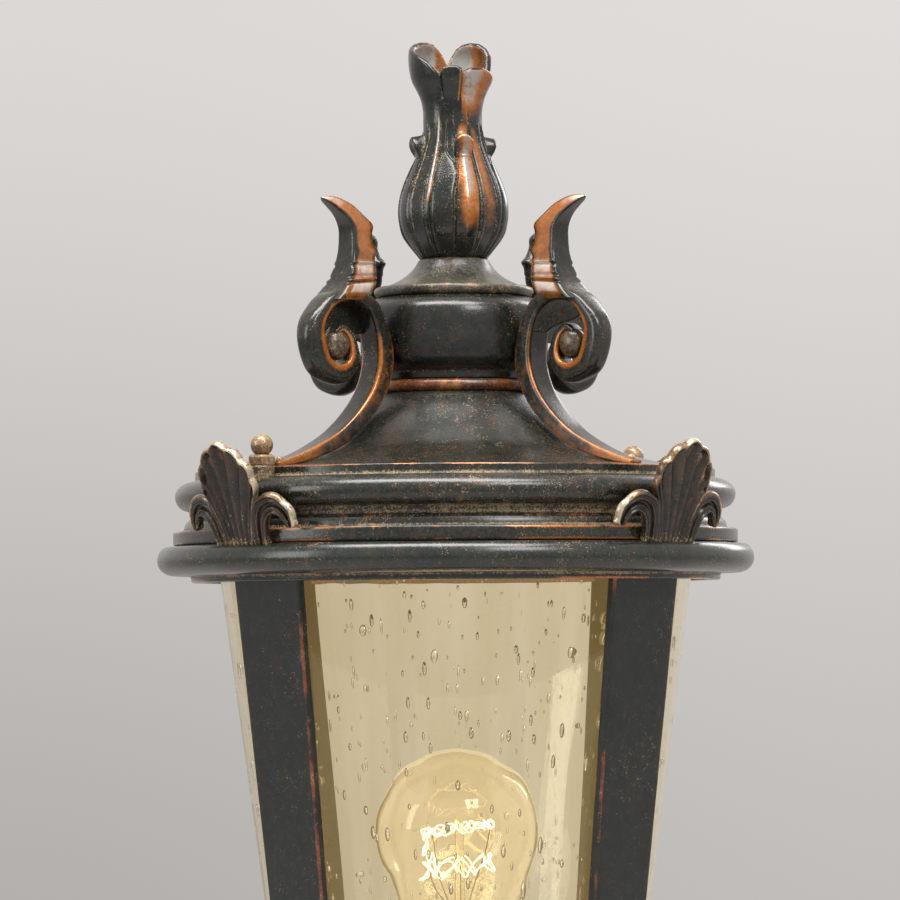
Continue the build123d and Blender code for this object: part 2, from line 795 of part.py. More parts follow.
def palmette():
    """One palmette over the X axis, leaning outwards, its foot cut to the frame ring."""
    lean = math.radians(palm_lean_angle)
    out = (math.cos(lean), 0, -math.sin(lean))
    back_r = cover_skirt_r + palm_gap
    foot_z = frame_z + frame_h - palm_sink
    plane = Plane(origin=(back_r, 0, foot_z), x_dir=(0, 1, 0), z_dir=out)
    return extrude(plane * palm_outline(), palm_t) - frame_section()


# Lampholder, lamp and wiring

holder_low = floor_z + holder_saddle_t
holder_top = holder_low + holder_h
cap_top = holder_top + lamp_above_holder
cap_low = cap_top - cap_h - lamp_above_holder
lamp_top = cap_low + lamp_h
cage_top = cap_top + (lamp_top - cap_top) * cage_top_share
cage_low = cap_top + (lamp_top - cap_top) * cage_low_share
lamp_mid = lamp_top - lamp_r
cavity_low = cap_low - contact_gap - contact_h
chamber_high = cavity_low - holder_web_t


def holder_saddle():
    return ring(holder_r, nipple_r, floor_z, holder_low)


def holder():
    """Ceramic body: a wiring chamber below, a web, and the cavity for the brass shell above."""
    cavity_r = cap_r + running_clearance + shell_t
    chamber_low = holder_low + holder_floor_t
    body = turned(Polyline(
        (nipple_r, holder_low), (holder_base_r, holder_low), (holder_base_r, cavity_low),
        (holder_r, cavity_low + holder_wall), (holder_r, holder_top), (cavity_r, holder_top),
        (cavity_r, cavity_low), (0, cavity_low), (0, chamber_high), (holder_chamber_r, chamber_high),
        (holder_chamber_r, chamber_low), (nipple_r, chamber_low), (nipple_r, holder_low)))
    body -= post(contact_r / 2, chamber_high - overrun, cavity_low + overrun)
    return body - post(rivet_r, chamber_high - overrun, cavity_low + overrun, (0, -rivet_out))


def holder_shell():
    """Brass shell with an inward floor and the rivet that takes the neutral lead."""
    inner = cap_r + running_clearance
    body = ring(inner + shell_t, inner, cavity_low, holder_top)
    body += ring(inner, shell_floor_r, cavity_low, cavity_low + shell_t)
    return body + post(rivet_r, chamber_high, cavity_low + shell_t, (0, -rivet_out))


def holder_contact():
    """Centre contact with the stem that takes the live lead."""
    return post(contact_r, cavity_low, cavity_low + contact_h) + post(contact_r / 2, chamber_high, cavity_low)


def nipple():
    low = floor_z - gallery_floor_t - nipple_below
    return ring(nipple_r, nipple_bore_r, low, holder_low + nipple_above)


def locknuts():
    """One nut under the gallery's floor and one on the lampholder's floor."""
    nuts = []
    for low in (floor_z - gallery_floor_t - locknut_h, holder_low + holder_floor_t):
        hole = post(nipple_r, low - overrun, low + locknut_h + overrun)
        nuts.append(hexagon(locknut_across_flats, low, low + locknut_h) - hole)
    return group(nuts)


def lamp_cap():
    inner = cap_r - cap_t
    body = ring(cap_r, inner, cap_low + contact_gap, cap_top)
    body += post(cap_r, cap_low + contact_gap, cap_low + wall)
    return body + post(contact_r, cap_low, cap_low + wall)


def bulb_edge(inset):
    """The glass bulb's side from the crown to the neck, moved in by an inset."""
    r = lamp_r - inset
    neck = lamp_neck_r - inset
    cap_in = cap_r - cap_t - inset
    crown = (0, lamp_mid + r)
    swing = math.radians(lamp_turn_angle)
    low_turn = (r * math.cos(swing), lamp_mid + r * math.sin(swing))
    shoulder = cap_top + (lamp_mid - cap_top) * lamp_shoulder_share
    neck_z = cap_top + (lamp_mid - cap_top) * lamp_neck_share
    shoulder_r = neck + (r - neck) * lamp_shoulder_r_share
    foot = (cap_in, cap_low + wall)
    edges = [ThreePointArc(crown, (r, lamp_mid), low_turn),
             Spline(low_turn, (shoulder_r, shoulder), (neck, neck_z), (neck, cap_top + inset),
                    tangents=[(math.sin(swing), -math.cos(swing)), (0, -1)]),
             Polyline((neck, cap_top + inset), (cap_in, cap_top + inset), foot)]
    return edges, foot, crown


def bulb():
    outer, outer_foot, outer_crown = bulb_edge(0)
    inner, inner_foot, inner_crown = bulb_edge(lamp_glass_t)
    solid = turned(*outer, Polyline(outer_foot, (0, outer_foot[1]), outer_crown))
    hollow = turned(*inner, Polyline(inner_foot, (0, inner_foot[1]), inner_crown))
    return solid - hollow


def stem():
    low = cap_low + wall
    waist = cap_top + wall * 2
    return turned(Polyline((0, low), (stem_r, low), (stem_r, cap_top), (stem_tip_r, waist),
                           (stem_tip_r, cage_top), (0, cage_top), (0, low)))


def filament():
    """A zigzag wire round a cage, top and bottom turns in step."""
    points = []
    for i, (x, y) in enumerate(on_circle(cage_r, cage_point_count)):
        z = cage_top if i % 2 else cage_low
        points.append((x, y, z))
    wires = []
    for start, end in zip(points[:-1], points[1:]):
        across = Plane(origin=start, z_dir=Vector(*end) - Vector(*start))
        wires.append(sweep(across * Circle(cage_wire_r), Line(start, end)))
    body = wires[0]
    for wire in wires[1:]:
        body += wire
    for at in points:
        body += Pos(*at) * Sphere(cage_wire_r * cage_joint_share)
    across_i = cage_point_count // 4 * 2
    for x, y, z in (points[0], points[across_i], points[1], points[across_i + 1]):
        inner = (x * stem_tip_r / 2 / cage_r, y * stem_tip_r / 2 / cage_r, z)
        body += sweep(Plane(origin=inner, z_dir=(x, y, 0)) * Circle(support_r), Line(inner, (x, y, z)))
    return body - stem()


def terminal_block():
    low = fitter_h + bowl_floor_t
    body = Pos(block_x, 0, low) * Box(block_l, block_w, block_h, align=(Align.MIN, Align.CENTER, Align.MIN))
    body = fillet(body.edges().filter_by(Axis.Z), block_round)
    for at in block_screw_places():
        body -= post(block_screw_r, low + block_h - block_screw_h, low + block_h + overrun, at)
    return body


def block_screw_places():
    across = block_l / 4
    return [(block_x + block_l / 2 + i * across, j * block_pitch / 2) for i in (-1, 1) for j in (-1, 1)]


def block_screws():
    top = fitter_h + bowl_floor_t + block_h
    return group(post(block_screw_r, top - block_screw_h, top, at) for at in block_screw_places())


def lead(side, terminal_y):
    """One insulated lead from its terminal in the lampholder, down the nipple and across to the block."""
    y = side * lead_spread
    entry_z = fitter_h + bowl_floor_t + block_h / 2
    points = [(0, terminal_y, chamber_high)]
    if terminal_y != y:
        step = (chamber_high - holder_low - nipple_above) / 3
        points += [(0, terminal_y, chamber_high - step), (0, y, chamber_high - 2 * step)]
    points += [(0, y, entry_z), (block_x - lead_end_gap, side * block_pitch / 2, entry_z)]
    path = FilletPolyline(*points, radius=lead_bend_r)
    return sweep(Plane(origin=points[0], z_dir=(0, 0, -1)) * Circle(lead_r), path)


def grommet():
    """Rubber bush through web and bowl: one lip in the web's recess, the other on the bowl's floor."""
    low = fitter_h - fitter_web_t + loose_clearance
    high = fitter_h + bowl_floor_t
    inner = cable_hole_r - grommet_wall
    body = ring(cable_hole_r, inner, low, high + grommet_lip)
    body += ring(cable_hole_r + grommet_lip, inner, low, low + grommet_lip)
    return body + ring(cable_hole_r + grommet_lip, inner, high, high + grommet_lip)


def earth_screw():
    low = fitter_h
    high = fitter_h + bowl_floor_t + earth_tag_t
    at = (0, earth_screw_y)
    return post(fitter_screw_r, low, high, at) + post(screw_head_r, high, high + screw_head_h, at)


def earth_tag():
    low = fitter_h + bowl_floor_t
    body = post(earth_tag_r, low, low + earth_tag_t, (0, earth_screw_y))
    return body - post(fitter_screw_r, low - overrun, low + earth_tag_t + overrun, (0, earth_screw_y))


os.makedirs("parts", exist_ok=True)

save(fitter(), "post_fitter")
for number, turn in enumerate(set_screw_turns(), start=1):
    save(set_screw(turn), f"set_screw_{number}")
save(fitter_screws(), "fitter_screws")
save(grommet(), "supply_grommet")
save(bowl(), "base_bowl")
save(gallery(), "gallery")
save(gallery_screws(), "gallery_screws")
save(glass_gasket(), "glass_gasket")
save(glass(), "glass_cone")
save(centring_ring(), "glass_centring_ring")
save(frame_ring(), "frame_ring")
save(studs(), "roof_studs")
one_palmette = palmette()
one_scroll = scroll()
for name, turn in corners():
    save(bar(turn), f"corner_bar_{name}")
    save(Rot(0, 0, turn) * one_palmette, f"palmette_{name}")
    save(Rot(0, 0, turn) * one_scroll, f"scroll_{name}")
save(group(scroll_screw(turn) for name, turn in corners()), "scroll_screws")
save(cover(), "roof_cover")
save(cover_gasket(), "roof_gasket")
back_right, front_left = stud_places()
save(ball_nut(front_left), "ball_nut_front_left")
save(ball_nut(back_right), "ball_nut_back_right")
save(bead(), "bead_ring")
save(drum(), "collar_drum")
save(cone(), "cone_cap")
save(rod(), "finial_rod")
save(rod_nut(), "rod_nut")
save(rod_washer(), "rod_washer")
save(finial(), "finial")
save(holder_saddle(), "holder_saddle")
save(holder(), "lampholder_body")
save(holder_shell(), "lampholder_shell")
save(holder_contact(), "lampholder_contact")
save(nipple(), "holder_nipple")
save(locknuts(), "nipple_locknuts")
save(lamp_cap(), "lamp_cap")
save(bulb(), "lamp_glass")
save(stem(), "lamp_stem")
save(filament(), "lamp_filament")
save(terminal_block(), "terminal_block")
save(block_screws(), "terminal_screws")
save(lead(1, lead_spread), "live_lead")
save(lead(-1, -rivet_out), "neutral_lead")
save(earth_screw(), "earth_screw")
save(earth_tag(), "earth_tag")
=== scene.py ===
import math

import bmesh
import bpy
import numpy as np
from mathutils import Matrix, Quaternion, Vector


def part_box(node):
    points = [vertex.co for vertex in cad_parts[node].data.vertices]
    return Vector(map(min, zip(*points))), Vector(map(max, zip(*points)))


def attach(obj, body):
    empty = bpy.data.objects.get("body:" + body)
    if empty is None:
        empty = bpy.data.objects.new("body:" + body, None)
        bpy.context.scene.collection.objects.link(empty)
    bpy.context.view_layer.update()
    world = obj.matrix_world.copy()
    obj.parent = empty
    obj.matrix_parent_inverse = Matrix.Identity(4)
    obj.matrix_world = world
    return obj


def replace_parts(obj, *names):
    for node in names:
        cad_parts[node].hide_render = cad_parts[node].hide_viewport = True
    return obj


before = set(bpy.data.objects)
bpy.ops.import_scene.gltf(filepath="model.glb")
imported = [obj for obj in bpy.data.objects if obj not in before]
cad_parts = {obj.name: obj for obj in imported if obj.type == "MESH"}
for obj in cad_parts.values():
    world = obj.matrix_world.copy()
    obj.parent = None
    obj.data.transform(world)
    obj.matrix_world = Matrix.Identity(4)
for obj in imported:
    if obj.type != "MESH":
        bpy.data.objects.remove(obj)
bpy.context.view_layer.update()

# The room: a long lens level with the top of the glass, and a pale backdrop that brightens upwards. A large
# soft light hangs overhead, with weaker ones in front above, at the left, and behind for the edges.
mm = 0.001
frame_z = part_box("frame_ring")[0].z
camera_place = Vector((-1.8 * mm, -1.707, frame_z - 14 * mm))
camera_pitch = 2.09
camera_roll = -0.4
lens = 186


class Socket:
    """One output in a node tree. Python's operators on it add Math nodes, and node() adds any other node."""

    def __init__(self, tree, output=None):
        self.tree = tree
        self.output = output

    def node(self, kind, settings=None, sockets=None, output=0):
        made = self.tree.nodes.new(kind)
        for key, value in (settings or {}).items():
            setattr(made, key, value)
        for key, value in (sockets or {}).items():
            if isinstance(value, Socket):
                self.tree.links.new(value.output, made.inputs[key])
            else:
                made.inputs[key].default_value = value
        return Socket(self.tree, made.outputs[output] if made.outputs else None)

    def beside(self, output):
        """Another output of the same node."""
        return Socket(self.tree, self.output.node.outputs[output])

    def maths(self, operation, *values):
        return self.node("ShaderNodeMath", {"operation": operation}, dict(enumerate(values)))

    def __add__(self, other):
        return self.maths("ADD", self, other)

    __radd__ = __add__

    def __sub__(self, other):
        return self.maths("SUBTRACT", self, other)

    def __rsub__(self, other):
        return self.maths("SUBTRACT", other, self)

    def __mul__(self, other):
        return self.maths("MULTIPLY", self, other)

    __rmul__ = __mul__

    def __truediv__(self, other):
        return self.maths("DIVIDE", self, other)

    def rising(self, low, high):
        """0 below low, 1 above high, and a smooth step between them."""
        return self.node("ShaderNodeMapRange", {"interpolation_type": "SMOOTHSTEP"},
                         {"Value": self, "From Min": low, "From Max": high})

    def mix(self, first, second):
        """The first colour where this value is 0, and the second where it is 1."""
        return self.node("ShaderNodeMix", {"data_type": "RGBA"}, {0: self, 6: first, 7: second}, 2)

    def noise(self, scale, detail=2.0, roughness=0.5):
        """Cloudy noise on this vector; scale is in lumps per metre."""
        return self.node("ShaderNodeTexNoise", {}, {"Vector": self, "Scale": scale, "Detail": detail,
                                                    "Roughness": roughness})

    def place(self):
        """The point's place on its object."""
        return self.node("ShaderNodeTexCoord", output="Object")


def srgb(red, green, blue):
    """A colour as a screen gives it, 0 to 255, made linear."""
    shares = np.array([red, green, blue]) / 255
    linear = np.where(shares <= 0.04045, shares / 12.92, ((shares + 0.055) / 1.055) ** 2.4)
    return (*linear.tolist(), 1.0)


scene = bpy.context.scene
scene.view_settings.view_transform = "Standard"
camera = bpy.data.objects.new("camera", bpy.data.cameras.new("camera"))
camera.data.lens = lens
camera.data.sensor_width = 36
camera.location = camera_place
camera.rotation_mode = "QUATERNION"
tilt = Quaternion((1, 0, 0), math.radians(90 + camera_pitch))
camera.rotation_quaternion = tilt @ Quaternion((0, 0, 1), math.radians(camera_roll))
scene.collection.objects.link(camera)
scene.camera = camera


def emptied(owner):
    """The first socket of a world's or a material's node tree, once it is emptied."""
    owner.use_nodes = True
    owner.node_tree.nodes.clear()
    return Socket(owner.node_tree)


low_left, low_right = srgb(178, 174, 171), srgb(193, 189, 186)
high_left, high_right = srgb(221, 217, 214), srgb(226, 222, 219)
room_grey = (0.98, 0.99, 1.0, 1.0)
room_glow = 0.5
view_low, view_high, view_side = [math.sin(math.radians(degrees)) for degrees in (-5, 9, 6)]
scene.world = bpy.data.worlds.new("room")
start = emptied(scene.world)
ray = start.node("ShaderNodeTexCoord", output="Generated")
spread = ray.node("ShaderNodeSeparateXYZ", {}, {0: ray})
up = spread.beside("Z").rising(view_low, view_high)
across = spread.rising(-view_side, view_side)
backdrop = up.mix(across.mix(low_left, low_right), across.mix(high_left, high_right))
is_camera = start.node("ShaderNodeLightPath", output="Is Camera Ray")
seen = is_camera.maths("MAXIMUM", is_camera, is_camera.beside("Is Transmission Ray"))
seen = seen.maths("MAXIMUM", seen, is_camera.beside("Is Glossy Ray"))
plain = start.node("ShaderNodeBackground", {}, {"Color": room_grey, "Strength": room_glow})
shown = start.node("ShaderNodeBackground", {}, {"Color": backdrop, "Strength": 1.0})
both = start.node("ShaderNodeMixShader", {}, {0: seen, 1: plain, 2: shown})
start.node("ShaderNodeOutputWorld", {}, {"Surface": both})
roof_middle = Vector((0, 0, frame_z + 50 * mm))


def soft_light(name, place, size, power, colour=(1.0, 1.0, 1.0)):
    """An oblong light aimed at the roof, with its place and size in metres and its power in watts."""
    data = bpy.data.lights.new(name, "AREA")
    data.shape = "RECTANGLE"
    data.size, data.size_y = size
    data.energy = power
    data.color = colour
    light = bpy.data.objects.new(name, data)
    light.location = place
    light.rotation_mode = "QUATERNION"
    light.rotation_quaternion = (roof_middle - light.location).to_track_quat("-Z", "Y")
    light.visible_camera = False
    scene.collection.objects.link(light)


soft_light("top_light", (-0.1, -0.35, 1.5), (1.2, 0.5), 22.0, (1.0, 0.995, 0.985))
soft_light("key_light", (0.55, -1.1, 1.3), (0.5, 0.5), 8.0, (1.0, 0.99, 0.97))
soft_light("left_light", (-1.5, -0.7, 0.75), (0.5, 0.9), 6.0, (0.94, 0.98, 1.0))
soft_light("edge_light", (0.9, 1.2, 1.1), (0.4, 0.9), 6.0)

floor_r = 1.3
floor_fade = (0.45, 0.98)


def full_turn(count):
    """Even angles once round, the first at 0."""
    return np.linspace(0, 2 * math.pi, count, endpoint=False)


def upright(r, z, turn):
    """Points about the upright axis: the radius times the angle's cosine and sine, and the height."""
    return np.stack([r * np.cos(turn), r * np.sin(turn), z + 0 * turn], axis=-1)


def finished(name, build):
    """A material whose surface is the shader that a function makes from the emptied tree's first socket."""
    material = bpy.data.materials.new(name)
    start = emptied(material)
    start.node("ShaderNodeOutputMaterial", {}, {"Surface": build(start)})
    return material


def fading_paper(start):
    """Matt paper in two close greys, which fades out between two shares of the floor's radius."""
    place = start.place()
    out_share = place.node("ShaderNodeVectorMath", {"operation": "LENGTH"}, {0: place}, "Value") / floor_r
    paper = place.noise(9.0).mix(srgb(188, 184, 181), srgb(194, 190, 187))
    matt = start.node("ShaderNodeBsdfDiffuse", {}, {"Color": paper})
    clear = start.node("ShaderNodeBsdfTransparent")
    return start.node("ShaderNodeMixShader", {}, {0: out_share.rising(*floor_fade), 1: matt, 2: clear})


disc = upright(floor_r, 0.0, full_turn(96))
floor_mesh = bpy.data.meshes.new("floor")
floor_mesh.from_pydata(disc.tolist(), [], [list(range(len(disc)))])
floor_mesh.materials.append(finished("pale_floor", fading_paper))
floor = bpy.data.objects.new("floor", floor_mesh)
scene.collection.objects.link(floor)

# Frame ring: one ring turned and cast in bronze, a flat plate below that the bars and the glass stand against
# and a rolled rim above. Its finish is a dark green-brown patina, rubbed to copper on the edges, with tan
# dust.
# The deepest colour stands for dark patina and for painted shade, laid where the surface is hollow.
patina_and_painted_shade = srgb(10, 17, 15)
patina_dark = srgb(24, 31, 28)
patina_light = srgb(58, 58, 49)
brown_stain = srgb(92, 58, 38)
copper = srgb(160, 86, 30)
copper_bright = srgb(194, 116, 46)
# The near-white colour for full polishing is rubbed bare metal and also a painted highlight.
bare_metal_and_highlight = srgb(238, 224, 210)
dust = srgb(172, 148, 112)
cast_bump, cast_bump_depth = 0.22, 0.6 * mm
lacquer_roughness = 0.17
foot_dust_h = 3.5 * mm


def bronze(name, dark=patina_dark, light=patina_light, rubbed=copper, bright=copper_bright, bare_and_highlight=bare_metal_and_highlight,
           dusty=dust, edge=0.75, rub=0.0, fleck=0.0, shine=0.34, mottle=1.0, settle=0.12, stain=0.35,
           pits=0.3, foot=None):
    """Patina in clouds and a fine mottle, mixed towards nearly black in the hollows: dark patina there, and
    also painted shade. It is rubbed to metal where the surface is convex or was polished by hand, in patches
    that a coarse noise breaks up. Where it is polished fully it turns to a paler, near-white colour, which is
    rubbed metal and also a painted highlight. Dark pits break the metal and brown stains lie on the rest.
    Dust lies in flecks that settle in the hollows, and over the lowest millimetres above a foot's height.
    Edge and rub lay more metal on the edges and everywhere, fleck and settle lay more dust everywhere and in
    the hollows, and shine is the roughness."""
    def build(start):
        place = start.place()
        curvature, polish_and_highlight = [start.node("ShaderNodeAttribute", {"attribute_name": kind}, output="Fac")
                        for kind in ("curvature", "polish_and_highlight")]
        clouds = place.noise(85.0, 4.0, 0.6)
        patches = place.noise(34.0, 3.0)
        broken = place.noise(260.0, 3.0, 0.6)
        grain = place.noise(1000.0, 3.0, 0.7)
        hollow = (0 - curvature).rising(0.08, 0.7)
        arris = curvature.maths("ABSOLUTE", curvature).rising(0.1, 0.6)
        fine = place.noise(1700.0, 2.0, 0.6)
        dusted = fine + (patches - 0.5) * 0.35 + (broken - 0.5) * 0.5 + hollow * settle + arris * 0.05
        if foot is not None:
            high = place.node("ShaderNodeSeparateXYZ", {}, {0: place}).beside("Z")
            dusted = dusted + high.rising(foot + foot_dust_h, foot) * 0.22
        specks = (dusted + fleck).rising(0.57, 0.78)
        uneven = ((broken - 0.5) * 0.8 + (clouds - 0.5) * 0.6) * (1 - 0.8 * polish_and_highlight)
        rubs = (curvature * patches.rising(0.36, 0.62) * edge + polish_and_highlight + uneven + rub).rising(0.3, 0.75)
        rubs = rubs * (1 - pits * place.noise(640.0, 2.0, 0.6).rising(0.57, 0.66))
        colour = ((clouds - 0.5) * 0.8 + (grain - 0.5) * mottle + 0.5).rising(0.3, 0.7).mix(dark, light)
        colour = (place.noise(280.0, 4.0, 0.65).rising(0.46, 0.7) * stain).mix(colour, brown_stain)
        # Nearly black in the hollows: dark patina, and painted shade where light would not reach.
        colour = (hollow * 0.65).mix(colour, patina_and_painted_shade)
        # Full polishing turns the colour near white: bare metal and a painted highlight.
        bared_and_highlit = (polish_and_highlight + (broken - 0.5) * 0.3 * polish_and_highlight).rising(0.8, 1.0)
        metal = bared_and_highlit.mix(grain.rising(0.3, 0.8).mix(rubbed, bright), bare_and_highlight)
        colour = (specks * 0.8).mix(rubs.mix(colour, metal), dusty)
        height = grain * 0.5 + clouds * 0.4 + broken * 0.3 + specks * 0.2
        bump = start.node("ShaderNodeBump", {}, {"Strength": cast_bump, "Distance": cast_bump_depth,
                                                 "Height": height})
        return start.node("ShaderNodeBsdfPrincipled", {}, {
            "Base Color": colour, "Metallic": rubs * 0.36 + 0.06, "Specular IOR Level": 0.5,
            "Roughness": shine + (grain - 0.5) * 0.18 + specks * 0.25 + hollow * 0.2, "Normal": bump,
            "Coat Weight": 0.3 + rubs * 0.4 - specks * 0.25, "Coat Roughness": lacquer_roughness})
    return finished(name, build)


def quarter(start, end, level, count=9):
    """A quarter of an ellipse between two points, as the sine of the turn one way and one less the cosine the
    other; it leaves the first point level or upright."""
    t = np.linspace(0, math.pi / 2, count)
    first, second = (np.sin(t), 1 - np.cos(t)) if level else (1 - np.cos(t), np.sin(t))
    return np.column_stack([start[0] + (end[0] - start[0]) * first, start[1] + (end[1] - start[1]) * second])


def curve(points, count=40):
    """A smooth line through given points: on each span a cubic whose slopes join the neighbouring points."""
    points = np.array(points, float)
    ends = np.vstack([2 * points[0] - points[1], points, 2 * points[-1] - points[-2]])
    at = np.linspace(0, len(points) - 1, count)
    i = np.minimum(at.astype(int), len(points) - 2)
    t = (at - i)[:, None]
    a, b, c, d = ends[i], ends[i + 1], ends[i + 2], ends[i + 3]
    return b + 0.5 * t * (c - a + t * (2 * a - 5 * b + 4 * c - d + t * (3 * (b - c) + d - a)))


def bulge(start, widest, end, count=9):
    """Two quarters that leave the start level, turn at the widest point and reach the end."""
    return np.vstack([quarter(start, widest, True, count), quarter(widest, end, False, count)])


def softened(points, step=0.5, passes=2):
    """Points and stretches of points as one line, resampled at even steps. Then each inner point is averaged
    with its neighbours, which rounds the corners."""
    points = np.vstack(points)
    run = np.concatenate([[0], np.cumsum(np.hypot(*np.diff(points, axis=0).T))])
    at = np.linspace(0, run[-1], max(int(run[-1] / step), 4))
    even = np.column_stack([np.interp(at, run, points[:, 0]), np.interp(at, run, points[:, 1])])
    for _ in range(passes):
        even[1:-1] = (even[:-2] + 2 * even[1:-1] + even[2:]) / 4
    return even


def metres(points):
    """Points in millimetres above the frame's lower face, in metres."""
    return points * mm + (0, 0, frame_z)


def level(node_name, end):
    """A CAD node's lowest (0) or highest (1) height, in millimetres above the frame's lower face."""
    return (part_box(node_name)[end].z - frame_z) / mm


def quads(grid):
    """Four-sided faces between the neighbours in a grid of point numbers, closed round its last direction."""
    grid = np.concatenate([grid, grid[..., :1]], axis=-1)
    faces = [grid[..., :-1, :-1], grid[..., :-1, 1:], grid[..., 1:, 1:], grid[..., 1:, :-1]]
    return np.stack(faces, axis=-1).reshape(-1, 4).tolist()


def weld(mesh, reach):
    """Joins points within a reach, turns the faces outwards and shades them smooth."""
    welded = bmesh.new()
    welded.from_mesh(mesh)
    bmesh.ops.remove_doubles(welded, verts=welded.verts, dist=reach)
    bmesh.ops.recalc_face_normals(welded, faces=welded.faces)
    welded.to_mesh(mesh)
    welded.free()
    mesh.polygons.foreach_set("use_smooth", np.ones(len(mesh.polygons), bool))


def hang(name, mesh, material, body):
    """The mesh's object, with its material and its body."""
    mesh.materials.append(material)
    piece = bpy.data.objects.new(name, mesh)
    scene.collection.objects.link(piece)
    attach(piece, body)
    return piece


def skin(name, points, material, body, along=False, full=700.0, passes=1, polish_and_highlight=0.0):
    """A closed mesh over a grid of points, joined round its second direction. Its first direction is joined
    round too where along is set, and otherwise each of its ends is closed with a fan. One attribute holds
    the polishing share given, which on some pieces also lays a painted highlight. Another holds each
    point's curvature: every edge's pull along the normal over its length squared, summed and averaged with
    its neighbours, and 1 at the curvature full."""
    rows, columns = points.shape[:2]
    grid = np.arange(rows * columns).reshape(rows, columns)
    faces = quads(np.vstack([grid, grid[:1]]) if along else grid)
    places = points.reshape(-1, 3)
    shares = (np.zeros((rows, columns)) + polish_and_highlight).ravel()
    if not along:
        middle = len(places)
        places = np.vstack([places, points[0].mean(axis=0), points[-1].mean(axis=0)])
        shares = np.append(shares, [shares[0], shares[-1]])
        for row, centre in ((grid[0], middle), (grid[-1], middle + 1)):
            faces += np.column_stack([row, np.roll(row, -1), np.full(columns, centre)]).tolist()
    mesh = bpy.data.meshes.new(name)
    mesh.from_pydata(places.tolist(), [], faces)
    mesh.attributes.new("polish_and_highlight", "FLOAT", "POINT").data.foreach_set("value", shares)
    weld(mesh, 0.001 * mm)
    count = len(mesh.vertices)
    at, normal = np.empty((2, count, 3))
    mesh.vertices.foreach_get("co", at.ravel())
    mesh.vertex_normals.foreach_get("vector", normal.ravel())
    ends = np.empty((len(mesh.edges), 2), np.int32)
    mesh.edges.foreach_get("vertices", ends.ravel())
    one, two = ends.T
    step = at[two] - at[one]
    squared = (step ** 2).sum(axis=1)
    bend = (np.bincount(one, -(step * normal[one]).sum(axis=1) / squared, count)
            + np.bincount(two, (step * normal[two]).sum(axis=1) / squared, count))
    degree = np.maximum(np.bincount(one, minlength=count) + np.bincount(two, minlength=count), 1)
    for _ in range(passes):
        bend = (bend + (np.bincount(one, bend[two], count) + np.bincount(two, bend[one], count)) / degree) / 2
    mesh.attributes.new("curvature", "FLOAT", "POINT").data.foreach_set("value", np.clip(bend / full, -1, 1))
    return hang(name, mesh, material, body)


def lathe(name, outline, material, body, turns=192, at=(0.0, 0.0), closed=True):
    """An outline of radii and heights in millimetres above the frame, turned round an upright axis."""
    points = upright(outline[:, :1] * mm, outline[:, 1:] * mm + frame_z, full_turn(turns)) + (*at, 0.0)
    return skin(name, points, material, body, along=closed)


rim_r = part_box("frame_ring")[1].x / mm
rim_top = level("frame_ring", 1)
hole_r = 92.5
plate_r, plate_top = 97.0, 2.5
flat_r = rim_r - 6.4
round_r = rim_r - 3.8
widest_z = rim_top * 0.6
rim_bronze = bronze("rim_bronze", light=srgb(42, 48, 41), rub=-0.12, fleck=-0.06, edge=1.0, shine=0.24,
                    settle=0.18, stain=0.25)
rim = softened([(hole_r, 0.0), (plate_r, 0.0), (plate_r, plate_top),
                bulge((flat_r, plate_top), (rim_r, widest_z), (round_r, rim_top)), (hole_r, rim_top)])
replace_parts(lathe("rolled_frame_ring", rim, rim_bronze, "lantern", 256), "frame_ring")

# Corner bars: four flat bars that lean outwards and widen upwards, set into slots in the frame ring and the
# gallery. Each is sawn from bronze strip and has gone dark, with a broken red line of metal along its inner
# edge.
floor_z = level("holder_saddle", 0)
corner_names = ["back_right", "back_left", "front_left", "front_right"]
corner_turn = {name: math.radians(45 + 90 * i) for i, name in enumerate(corner_names)}
bar_low, bar_high = level("corner_bar_front_left", 0), level("corner_bar_front_left", 1)
glass_h = -floor_z
bar_t = 3.7
bar_top_r, bar_bottom_r = 93.3, 68.6
bar_top_w, bar_bottom_w = 33.0, 23.0
bar_round = 0.8
red_line_in, red_line_w = 1.4, 0.7
bar_bronze = bronze("bar_bronze", dark=srgb(8, 17, 14), light=srgb(20, 28, 23), rubbed=srgb(120, 56, 32),
                    bright=srgb(158, 90, 56), rub=-0.2, edge=0.5, fleck=-0.08, shine=0.46, mottle=0.7,
                    stain=0.12)


def turned_to(points, angle):
    """Points over the X axis, turned about the lantern's axis."""
    x, y, z = points[..., 0], points[..., 1], points[..., 2]
    c, s = math.cos(angle), math.sin(angle)
    return np.stack([x * c - y * s, x * s + y * c, z], axis=-1)


def rounded_section(half_x, half_y, radius, corner=5, flat=9):
    """A rectangle with rounded corners: flat stretches and quarter rounds in turn."""
    bend = np.linspace(0, math.pi / 2, corner)
    rounds = np.column_stack([np.cos(bend), np.sin(bend)]) * radius
    inner = np.array([half_x - radius, half_y - radius])
    stretches = []
    for spin, sign in enumerate(((1, 1), (-1, 1), (-1, -1), (1, -1))):
        c, s = round(math.cos(spin * math.pi / 2)), round(math.sin(spin * math.pi / 2))
        stretches.append(inner * sign + rounds @ np.array([[c, s], [-s, c]]))
    outline = []
    for i, stretch in enumerate(stretches):
        follow = stretches[(i + 1) % 4][0]
        share = np.linspace(0, 1, flat + 2)[1:-1, None]
        outline += [stretch, stretch[-1] + (follow - stretch[-1]) * share]
    return np.vstack(outline)


def bell(value, middle, width):
    """1 at the middle, and beside it the exponential of minus the squared distance over the width."""
    return np.exp(-((value - middle) / width) ** 2)


